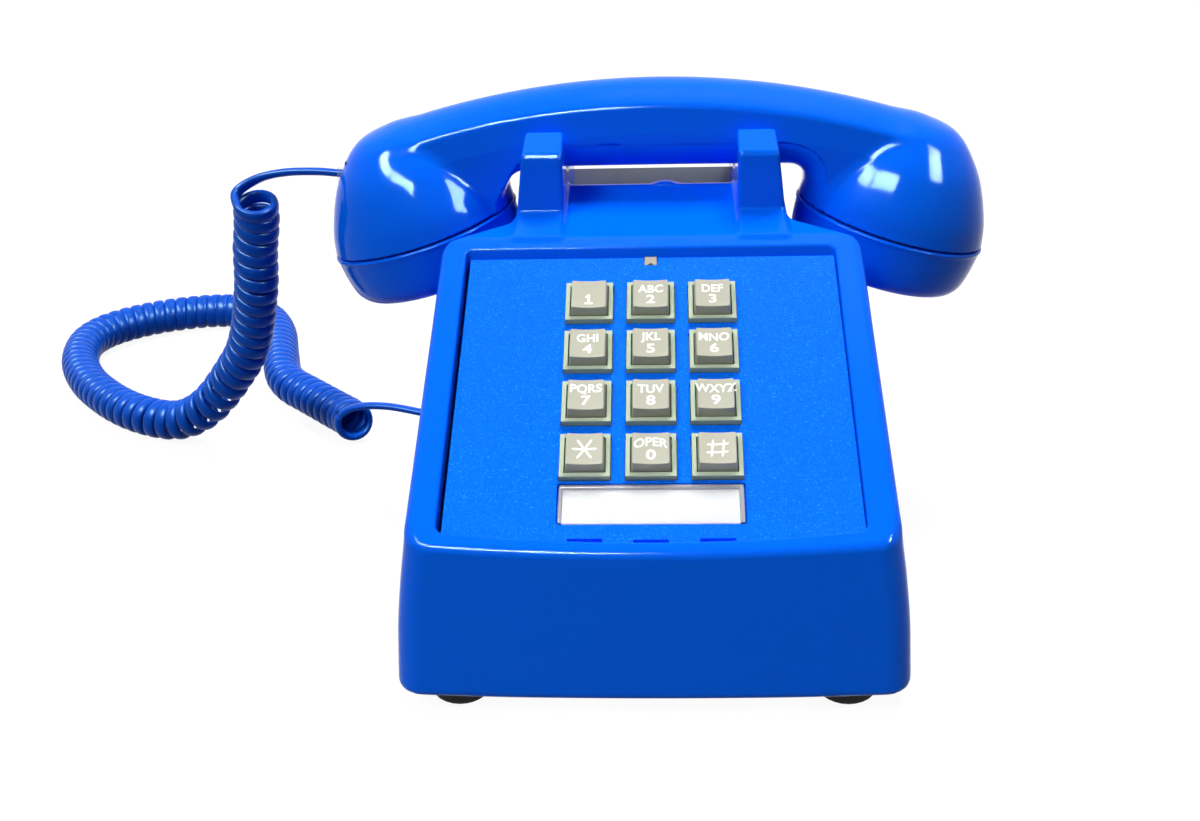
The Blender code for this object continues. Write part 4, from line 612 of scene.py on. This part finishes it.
def make_block(name, low, high, place, turn, material, body, *nodes, edge=EDGE_ROUND):
    """A box with rounded edges, from its corners about a place and tilted about X."""
    bm = bmesh.new()
    bmesh.ops.create_cube(bm, size=1)
    middle, size = (Vector(low) + Vector(high)) / 2, Vector(high) - Vector(low)
    turned = Matrix.Translation(Vector(place) * MM) @ Matrix.Rotation(turn, 4, "X")
    bm.transform(turned @ Matrix.Translation(middle * MM) @ Matrix.Diagonal((*(size * MM), 1)))
    bmesh.ops.bevel(bm, geom=bm.edges[:], offset=edge * MM, segments=3, profile=0.5, affect="EDGES")
    mesh = bpy.data.meshes.new(name)
    bm.to_mesh(mesh)
    bm.free()
    mesh.shade_smooth()
    mesh.set_sharp_from_angle(angle=SHARP_ANGLE)
    return attach(link(bpy.data.objects.new(name, mesh)), body, material, *nodes)


def make_rail(material):
    """The strip across the carrying gap, leaning back; its dark grey finish is painted shade, standing for
    the shade seen through the gap.
    """
    make_block("grip_rail_strip", (-28.9, 0, -0.8), (28.9, 8.6, 0.8), RAIL_PLACE, RAIL_LEAN, material,
               "telephone", "grip_rail")


def make_card(paper, rim):
    """The number card and the clear window's bevelled edge round it, in the face's plane; the edge is
    opaque, its dark and bright patches painted reflection in its colour.
    """
    place = (0, *face_point(CARD_V, CARD_W))
    make_block("number_card_sheet", (-25.3, -6.1, -0.2), (25.0, 5.2, 0.2), place, FACE_TILT, paper,
               "telephone", "number_card", edge=0.1)
    for name, low, high in (("left", (-26.3, -6.2), (-25.5, 6.2)), ("right", (25.0, -6.2), (26.3, 6.2)),
                            ("top", (-26.3, 5.35), (26.3, 6.2))):
        make_block(f"window_edge_{name}", (*low, 0), (*high, 1.15), place, FACE_TILT, rim, "telephone")


def make_key(name, u, v, material):
    """One key, at its place in the keypad's rows and columns."""
    rings = []
    for half, height in KEY_LAYERS:
        ring = rounded_square(half)
        level = np.full(len(ring), float(height))
        if height > DISHED_ABOVE:
            level -= dish_drop(ring[:, 0], ring[:, 1])
        rings.append(np.column_stack([ring, level]))
    points = on_face(np.concatenate(rings), u, v)
    key = mesh_from_arrays(f"{name}_key", points, tube_faces(len(rings), len(rings[0])))
    key.data.set_sharp_from_angle(angle=SHARP_ANGLE)
    return attach(key, name, material, name)


def letter_mesh(text, size, thick, squeeze):
    """Flat lettering as a mesh, about its own middle, in millimetres."""
    curve = bpy.data.curves.new("lettering", "FONT")
    curve.body = text
    curve.size = size
    curve.offset = thick
    curve.align_x, curve.align_y = "CENTER", "CENTER"
    curve.space_character = 1.02
    curve.resolution_u = 6
    obj = link(bpy.data.objects.new("lettering", curve))
    mesh = bpy.data.meshes.new_from_object(obj.evaluated_get(bpy.context.evaluated_depsgraph_get()))
    bpy.data.objects.remove(obj, do_unlink=True)
    points = np.array([vertex.co for vertex in mesh.vertices])
    middle = (points.min(0) + points.max(0)) / 2
    points -= middle
    points[:, 0] *= squeeze
    faces = [list(polygon.vertices) for polygon in mesh.polygons]
    bpy.data.meshes.remove(mesh)
    return points, faces


def stroke_mesh(strokes, thick, parts=12):
    """Straight strokes with round ends, each a strip of short faces."""
    points, faces = [], []
    for start, end in strokes:
        start, end = np.array(start, float), np.array(end, float)
        length = np.linalg.norm(end - start)
        forward = (end - start) / length
        side = np.array([-forward[1], forward[0]])
        for at in np.linspace(-thick / 2, length + thick / 2, parts + 1):
            past = max(-at, at - length, 0)
            half = math.sqrt(max((thick / 2) ** 2 - past ** 2, 1e-4))
            points += [start + forward * at + side * half, start + forward * at - side * half]
        first = len(points) - 2 * (parts + 1)
        corners = first + 2 * np.arange(parts)[:, None] + (0, 1, 3, 2)
        faces += corners.tolist()
    return np.column_stack([points, np.zeros(len(points))]), faces


# Signs drawn as strokes, in millimetres about the key's middle.
STAR = [((-3.4, 0), (3.4, 0)), ((-2.0, 3.0), (2.0, -3.0)), ((-2.0, -3.0), (2.0, 3.0))]
ONE = [((0, -1.6), (0, 1.7)), ((-0.75, 1.0), (0, 1.7)), ((-0.95, -1.6), (0.95, -1.6))]
POUND = [((-1.75, -2.7), (-1.25, 2.7)), ((1.35, -2.7), (1.85, 2.7)), ((-3.1, -1.5), (2.9, -1.2)),
         ((-2.9, 1.2), (3.1, 1.5))]


def make_legend(name, u, v, parts, material):
    """A key's lettering, as thin ink that follows the dished top."""
    bm = bmesh.new()
    for shape, size, dv, squeeze, arch in parts:
        if isinstance(shape, str):
            points, faces = letter_mesh(shape, size, STROKE_GROWTH * size, squeeze)
        else:
            points, faces = stroke_mesh(shape, size)
        points[:, 1] += arch * (1 - (points[:, 0] / 4) ** 2) + dv
        level = KEY_TOP - dish_drop(points[:, 0], points[:, 1]) + INK
        placed = on_face(np.column_stack([points[:, :2], level]), u, v) * MM
        corners = [bm.verts.new(point) for point in placed]
        for face in faces:
            bm.faces.new([corners[i] for i in face])
    mesh = bpy.data.meshes.new(f"{name}_legend")
    bm.to_mesh(mesh)
    bm.free()
    return attach(link(bpy.data.objects.new(f"{name}_legend", mesh)), name, material)


def make_keys(key_material, ink):
    """The twelve keys in rows of three, each with its lettering."""
    for number, (name, digit, letters) in enumerate(KEYS):
        u, v = (number % 3 - 1) * KEY_PITCH, (1.5 - number // 3) * KEY_PITCH
        make_key(name, u, v, key_material)
        if digit == "*":
            parts = [(STAR, 0.72, 0, 1, 0)]
        elif digit == "#":
            parts = [(POUND, 0.66, 0, 1, 0)]
        elif letters:
            arch = 0.9 if letters == "OPER" else 0
            parts = [(letters, 4.0, 2.0 - arch / 2, 0.98, arch), (digit, 4.7, -2.0, 1.2, 0)]
        else:
            parts = [(ONE, 0.8, -1.9, 1, 0)]
        make_legend(name, u, v, parts, ink)


# ---------------------------------------------------------------- cord
COIL_LIES = 8.5  # the height of the coil's middle where it lies on the table
# Points along the cord, from the left cup to the housing's left side.
UPPER_LEAD = [(-103.5, 45.27, 119.6), (-109.3, 45.27, 119.92), (-115.2, 45.3, 120.5), (-123, 45.3, 120.65),
              (-127.6, 45.4, 120.4), (-132.5, 45.6, 119.7), (-137.1, 45.7, 118.5), (-141.6, 45.6, 116.5),
              (-144.4, 44.8, 114.8), (-145.75, 43.3, 113.3), (-145.6, 41.2, 111.8)]
COIL_ROUTE = [(-138.7, 41, 111.6), (-139.1, 43.2, 107.5), (-140, 45.1, 102.8), (-141.3, 46.8, 97.4),
              (-142.8, 48.6, 91.4), (-144.7, 51.5, 78.9), (-147, 54.5, 70.1), (-149.7, 58, 60.9),
              (-153.2, 61.5, 51.5), (-157, 64.2, 44), (-162.7, 67.5, 36), (-169, 71, 27.8),
              (-176, 74.5, 20), (-183, 77.6, 14.2), (-190.5, 80.6, 10.2), (-198, 83.2, 8.7),
              (-207.5, 87.4, COIL_LIES),
              (-218.6, 94.8, COIL_LIES), (-231, 106.4, COIL_LIES), (-245.2, 123.6, COIL_LIES),
              (-257, 144.5, COIL_LIES), (-263, 165, COIL_LIES), (-262.5, 180, COIL_LIES),
              (-256, 192.5, COIL_LIES), (-242.5, 204, COIL_LIES), (-225.3, 211.4, COIL_LIES),
              (-209.5, 213.3, COIL_LIES), (-196.5, 209.8, COIL_LIES), (-185, 199.5, COIL_LIES),
              (-176, 181, COIL_LIES), (-168.8, 155, COIL_LIES), (-162, 131.5, COIL_LIES),
              (-155, 118.5, COIL_LIES), (-145.9, 108.6, COIL_LIES), (-136.9, 98.9, COIL_LIES),
              (-130, 91.5, COIL_LIES), (-123.6, 84.2, 8.8), (-120, 76.9, 10)]
LOWER_LEAD = [(-121.5, 75, 16.2), (-117.8, 74.6, 17.5), (-112.5, 73.8, 18.4), (-104.7, 72.4, 18.6),
              (-97, 70.6, 18), (-90, 69.5, 17), (-83.5, 69.3, 16.6), (-76.6, 69.27, 16.5)]
COIL_TURNS, COIL_MEAN, STRAND_WIDE, STRAND_THICK = 90, 6.7, 5.2, 2.8
COIL_START, COIL_END = math.radians(180), math.radians(222)
TURN_STEPS, TUBE_SIDES = 26, 14
# How far the turns open near the bend below the cup, where along the coil, and over what share.
GAPS, GAPS_AT, GAPS_REACH = 0.33, 0.21, 0.05
# The way a lead's wide side faces, and in how many steps it turns into the coil's direction.
LEAD_FLAT, EASE_STEPS = (0.1, 1, -0.3), 20
LEAD_SPACING, COIL_SKIP = 1.2, 3


def even_points(points, spacing):
    """Evenly spaced points along a smooth curve through the given points."""
    fine = np.array(spline_through(points, 24))
    lengths = np.concatenate([[0], np.cumsum(np.linalg.norm(np.diff(fine, axis=0), axis=1))])
    count = max(2, round(lengths[-1] / spacing))
    at = np.linspace(0, lengths[-1], count + 1)
    return np.stack([np.interp(at, lengths, fine[:, k]) for k in range(3)], 1)


def unit(vectors):
    """The vectors at a length of one."""
    return vectors / np.maximum(np.linalg.norm(vectors, axis=-1, keepdims=True), 1e-12)


def carried_frames(points, first):
    """Directions across a line that turn with it as little as they can."""
    tangents = unit(np.gradient(points, axis=0))
    across = [unit(first - tangents[0] * (first @ tangents[0]))]
    for tangent in tangents[1:]:
        across.append(unit(across[-1] - tangent * (across[-1] @ tangent)))
    across = np.array(across)
    return tangents, across, np.cross(tangents, across)


def coil_line():
    """The strand's centre line round the coil, and the coil's direction at each point."""
    steps = COIL_TURNS * TURN_STEPS
    route = even_points(COIL_ROUTE, 0.5)
    at = np.linspace(0, len(route) - 1, steps + 1)
    centre = np.stack([np.interp(at, np.arange(len(route)), route[:, k]) for k in range(3)], 1)
    tangents, across, beside = carried_frames(centre, np.array([1.0, 0, 0]))
    share = np.linspace(0, 1, steps + 1)
    wound = np.cumsum(1 - GAPS * np.exp(-((share - GAPS_AT) / GAPS_REACH) ** 2))
    wound = (wound - wound[0]) / (wound[-1] - wound[0])
    angle = COIL_START - wound * (COIL_TURNS * 2 * math.pi) + wound * (COIL_END - COIL_START)
    around = across * np.cos(angle)[:, None] + beside * np.sin(angle)[:, None]
    return centre + around * COIL_MEAN, tangents


def eased_flat(count, steps_from_coil, direction, coil_direction):
    """A lead's flat side, turning into the coil's direction over its last steps before the coil."""
    flat = np.repeat([direction], count, 0)
    ease = np.clip((EASE_STEPS - steps_from_coil) / EASE_STEPS, 0, 1)[:, None]
    return flat * (1 - ease) + coil_direction * ease * np.sign(coil_direction @ flat[0])


def cord_line():
    """The whole strand: upper lead, coil and lower lead, with the direction of its flat side."""
    coil, direction = coil_line()
    skip = COIL_SKIP
    upper = even_points(UPPER_LEAD + [tuple(coil[skip])], LEAD_SPACING)[:-1]
    lower = even_points([tuple(coil[-1 - skip])] + LOWER_LEAD, LEAD_SPACING)[1:]
    above, below = np.arange(len(upper), 0, -1), np.arange(len(lower))
    flat_upper = eased_flat(len(upper), above, LEAD_FLAT, direction[skip])
    flat_lower = eased_flat(len(lower), below, LEAD_FLAT, direction[-1])
    line = np.concatenate([upper, coil[skip:-skip], lower])
    return line, np.concatenate([flat_upper, direction[skip:-skip], flat_lower])


def make_cord(material):
    """The cord as one strand of flat section, from the handset's plug to the base's plug."""
    line, flat = cord_line()
    tangents = unit(np.gradient(line, axis=0))
    wide = unit(flat - tangents * (flat * tangents).sum(1, keepdims=True))
    thin = np.cross(tangents, wide)
    angles = np.arange(TUBE_SIDES) * 2 * math.pi / TUBE_SIDES
    c, s = np.cos(angles), np.sin(angles)
    u = np.sign(c) * np.abs(c) ** 0.8 * STRAND_WIDE / 2
    w = np.sign(s) * np.abs(s) ** 0.8 * STRAND_THICK / 2
    points = line[:, None] + wide[:, None] * u[None, :, None] + thin[:, None] * w[None, :, None]
    cord = mesh_from_arrays("cord", points.reshape(-1, 3), tube_faces(len(line), len(angles)))
    cord.data.materials.append(material)
    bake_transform(cord)
    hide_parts("curly_cord", "cord_handset_lead", "cord_base_lead")


# ---------------------------------------------------------------- finishes
SMOOTHEST, WINDOW_ALPHA = 0.02, 0.2
# The part of the fine grain's range where its peaks are painted lighter, as painted glints.
GLINT_RANGE = 0.56, 0.76


def add_noise(tree, place, scale, detail):
    """A noise over the piece's own coordinates."""
    noise = tree.nodes.new("ShaderNodeTexNoise")
    noise.inputs["Scale"].default_value = scale
    noise.inputs["Detail"].default_value = detail
    tree.links.new(place, noise.inputs["Vector"])
    return noise.outputs["Fac"]


def map_range(tree, value, side, low, high):
    """Stretch a value: side "To" sets the range that comes out, "From" the range that is read."""
    node = tree.nodes.new("ShaderNodeMapRange")
    node.inputs[f"{side} Min"].default_value = low
    node.inputs[f"{side} Max"].default_value = high
    tree.links.new(value, node.inputs["Value"])
    return node.outputs["Result"]


def mix_colours(tree, factor, first, second):
    """A mix of two colours; the first may be another node's output."""
    node = tree.nodes.new("ShaderNodeMix")
    node.data_type = "RGBA"
    if isinstance(first, bpy.types.NodeSocket):
        tree.links.new(first, node.inputs["A"])
    else:
        node.inputs["A"].default_value = (*first, 1)
    node.inputs["B"].default_value = (*second, 1)
    tree.links.new(factor, node.inputs["Factor"])
    return node.outputs["Result"]


def finish(name, colour, roughness, metallic=0.0, gloss=0.3, mottle=0.06, grain=(900, 0.02), wear=0.05,
           tint=(1, 1, 1), spots=60, painted_glint=None):
    """A material with a little variation of colour and polish, and a fine surface grain.

    The grain is the fine noise's scale and its depth in millimetres; its peaks may be painted a lighter
    colour, as painted glints on the grain."""
    material = bpy.data.materials.new(name)
    material.use_nodes = True
    tree = material.node_tree
    shader = tree.nodes["Principled BSDF"]
    shader.inputs["Metallic"].default_value = metallic
    shader.inputs["Specular IOR Level"].default_value = gloss
    shader.inputs["Specular Tint"].default_value = (*tint, 1)
    place = tree.nodes.new("ShaderNodeTexCoord").outputs["Object"]
    cloud, fine = add_noise(tree, place, spots, 3), add_noise(tree, place, grain[0], 4)
    surface = mix_colours(tree, cloud, [c * (1 - mottle) for c in colour],
                          [min(1, c * (1 + mottle)) for c in colour])
    # Painted glints: the grain's peaks take a lighter colour that stands for light caught by the grain.
    if painted_glint:
        surface = mix_colours(tree, map_range(tree, fine, "From", *GLINT_RANGE), surface, painted_glint)
    tree.links.new(surface, shader.inputs["Base Color"])
    polish = map_range(tree, cloud, "To", max(SMOOTHEST, roughness - wear), roughness + wear)
    tree.links.new(polish, shader.inputs["Roughness"])
    bump = tree.nodes.new("ShaderNodeBump")
    bump.inputs["Strength"].default_value = 1
    bump.inputs["Distance"].default_value = grain[1] * MM
    tree.links.new(fine, bump.inputs["Height"])
    tree.links.new(bump.outputs["Normal"], shader.inputs["Normal"])
    return material


def make_finishes():
    """A finish for each of the record's slots, and those for lettering, rail and window edges."""
    blue, sheen = (0.0, 0.128, 0.92), (0.45, 0.8, 1)
    made = [
        finish("blue_gloss", blue, 0.09, gloss=0.06, mottle=0.02, grain=(140, 0.004), wear=0.02,
               tint=sheen),
        finish("blue_face", blue, 0.4, gloss=0.05, mottle=0.15, grain=(1700, 0.12), tint=(0.05, 0.6, 1),
               # The face plate's lighter specks are painted glints of light on its grain.
               spots=700, painted_glint=(0.02, 0.3, 1)),
        finish("blue_cord", (0, 0.074, 0.52), 0.32, gloss=0.1, mottle=0.06, grain=(700, 0.01), tint=sheen),
        finish("collar_plastic", (0.36, 0.45, 0.31), 0.5, gloss=0.2, mottle=0.08),
        finish("key_plastic", (0.40, 0.40, 0.31), 0.4, gloss=0.2, mottle=0.08, grain=(1500, 0.03)),
        finish("tan_plastic", (0.31, 0.29, 0.215), 0.5, gloss=0.2),
        finish("card_paper", (0.84, 0.84, 0.82), 0.8, gloss=0.1, mottle=0.02, grain=(1200, 0.02)),
        finish("clear_plastic", (0.8, 0.83, 0.88), 0.05, grain=(200, 0.002)),
        finish("black_plastic", (0.02, 0.02, 0.022), 0.42, mottle=0.2),
        finish("black_rubber", (0.013, 0.013, 0.014), 0.75, mottle=0.25, grain=(1000, 0.05)),
        finish("steel", (0.52, 0.52, 0.50), 0.36, metallic=1.0, gloss=0.5, mottle=0.08, grain=(500, 0.01)),
        finish("gong_brass", (0.78, 0.57, 0.27), 0.25, metallic=1.0, gloss=0.5),
        finish("coil_copper", (0.62, 0.27, 0.12), 0.35, metallic=1.0, gloss=0.5),
        finish("board_green", (0.03, 0.20, 0.09), 0.45),
        finish("ink", (0.8, 0.8, 0.76), 0.5, gloss=0.1, mottle=0.04),
        # A dark grey for the rail that is painted shade: the shade seen through the carrying gap.
        finish("painted_shade_grey", (0.10, 0.11, 0.125), 0.6, gloss=0.1, mottle=0.15, grain=(500, 0.02)),
        # The window's clear bevel as opaque grey with strong blotches: painted reflection and refraction,
        # dark and bright.
        finish("edge_painted_reflection", (0.22, 0.23, 0.26), 0.15, gloss=0.5, mottle=0.8, grain=(400, 0.05)),
    ]
    return {material.name.split(".")[0]: material for material in made}


def dress_nodes(finishes):
    """Give each carried-over node the finish of its slot, and slightly rounded edges."""
    for name, node in NODES.items():
        node.data.materials.clear()
        node.data.materials.append(finishes[SLOT_OF[name]])
        bevel = node.modifiers.new("edge", "BEVEL")
        bevel.width = EDGE_ROUND * MM
        bevel.segments = 2
        bevel.limit_method = "ANGLE"
        bevel.angle_limit = BEVEL_ANGLE
        bevel.harden_normals = True
    clear = finishes["clear_plastic"].node_tree.nodes["Principled BSDF"]
    clear.inputs["Alpha"].default_value = WINDOW_ALPHA


# ---------------------------------------------------------------- light and backdrop
AMBIENT, FLOOR_GLOW, FLOOR_GREY, FLOOR_SIZE = 0.15, 0.93, 0.12, 14
LAMP_DISTANCE = 4
MIDDLE, LEFT_CUP, RIGHT_CUP = (0, 0, 0.08), (-0.085, 0.02, 0.12), (0.085, 0.02, 0.12)
# Each lamp: the two directions that its box spans, its width as a share of the distance, its
# radiance, what it faces, and whether it only shows in the finish.
LAMPS = {
    "overhead": ((-0.14, 0.3, 1), (0.38, 0.3, 1), 0.333, 24, MIDDLE, False),
    "left_key": ((-0.65, -0.35, 0.73), (-0.31, -0.63, 0.73), 0.267, 14.5, MIDDLE, False),
    "strip_left": ((-0.60, -0.17, 0.79), (-0.465, -0.42, 0.78), 0.16, 240, LEFT_CUP, True),
    "strip_front": ((-0.43, -0.455, 0.78), (-0.018, -0.70, 0.72), 0.16, 240, LEFT_CUP, True),
    "side_box": ((0.64, -0.177, 0.748), (0.715, -0.465, 0.525), 0.28, 170, RIGHT_CUP, True),
}


def seen_as_background(tree):
    """One where a ray comes from the camera or from shiny or clear surfaces, otherwise zero."""
    path = tree.nodes.new("ShaderNodeLightPath")
    outputs = [path.outputs[key] for key in ("Is Camera Ray", "Is Glossy Ray", "Is Transmission Ray")]
    result = outputs[0]
    for output in outputs[1:]:
        larger = tree.nodes.new("ShaderNodeMath")
        larger.operation = "MAXIMUM"
        tree.links.new(result, larger.inputs[0])
        tree.links.new(output, larger.inputs[1])
        result = larger.outputs[0]
    return result


def make_world():
    """A white backdrop that lights the object only a little."""
    world = bpy.data.worlds.new("studio")
    bpy.context.scene.world = world
    world.use_nodes = True
    tree = world.node_tree
    background = tree.nodes["Background"]
    background.inputs["Color"].default_value = (1, 1, 1, 1)
    strength = map_range(tree, seen_as_background(tree), "To", AMBIENT, 1)
    tree.links.new(strength, background.inputs["Strength"])


def make_floor():
    """A pale floor whose own glow shows only as background; it keeps the soft shadow."""
    bpy.ops.mesh.primitive_plane_add(size=FLOOR_SIZE, location=(0, 3, 0))
    floor = bpy.context.object
    floor.name = "floor"
    material = bpy.data.materials.new("floor")
    material.use_nodes = True
    tree = material.node_tree
    shader = tree.nodes["Principled BSDF"]
    shader.inputs["Base Color"].default_value = (FLOOR_GREY, FLOOR_GREY, FLOOR_GREY, 1)
    shader.inputs["Roughness"].default_value = 0.9
    shader.inputs["Specular IOR Level"].default_value = 0
    shader.inputs["Emission Color"].default_value = (1, 1, 1, 1)
    scaled = tree.nodes.new("ShaderNodeMath")
    scaled.operation = "MULTIPLY"
    scaled.inputs[1].default_value = FLOOR_GLOW
    tree.links.new(seen_as_background(tree), scaled.inputs[0])
    tree.links.new(scaled.outputs[0], shader.inputs["Emission Strength"])
    floor.data.materials.append(material)


def aim(obj, place, target, along):
    """Put a lamp at a place so that it faces the target, with its long side along a direction."""
    back = (place - target).normalized()
    side = (along - back * along.dot(back)).normalized()
    turn = Matrix((side, back.cross(side), back)).transposed().to_4x4()
    obj.matrix_world = Matrix.Translation(place) @ turn


def make_lamp(name, start, end, width, radiance, target, shiny):
    """A softbox between two directions from its target; it lights the object or shows in its gloss."""
    start, end, target = Vector(start).normalized(), Vector(end).normalized(), Vector(target)
    lamp = bpy.data.lights.new(name, "AREA")
    lamp.shape = "RECTANGLE"
    lamp.size, lamp.size_y = (end - start).length * LAMP_DISTANCE, width * LAMP_DISTANCE
    lamp.energy = radiance * math.pi * lamp.size * lamp.size_y
    obj = link(bpy.data.objects.new(name, lamp))
    aim(obj, target + (start + end) / 2 * LAMP_DISTANCE, target, end - start)
    obj.visible_diffuse = not shiny
    obj.visible_glossy = shiny
    obj.visible_camera = False


def make_light():
    make_world()
    make_floor()
    for name, (start, end, width, radiance, target, shiny) in LAMPS.items():
        make_lamp(name, start, end, width, radiance, target, shiny)


make_camera()
FINISHES = make_finishes()
dress_nodes(FINISHES)
make_cord(FINISHES["blue_cord"])
make_housing(FINISHES["blue_gloss"])
make_handset(FINISHES["blue_gloss"])
for cap, side in (("transmitter_cap", -1), ("receiver_cap", 1)):
    make_cap(cap, side, FINISHES["blue_gloss"])
make_keys(FINISHES["key_plastic"], FINISHES["ink"])
make_rail(FINISHES["painted_shade_grey"])
make_card(FINISHES["card_paper"], FINISHES["edge_painted_reflection"])
make_light()
bpy.context.scene.view_settings.view_transform = "Standard"
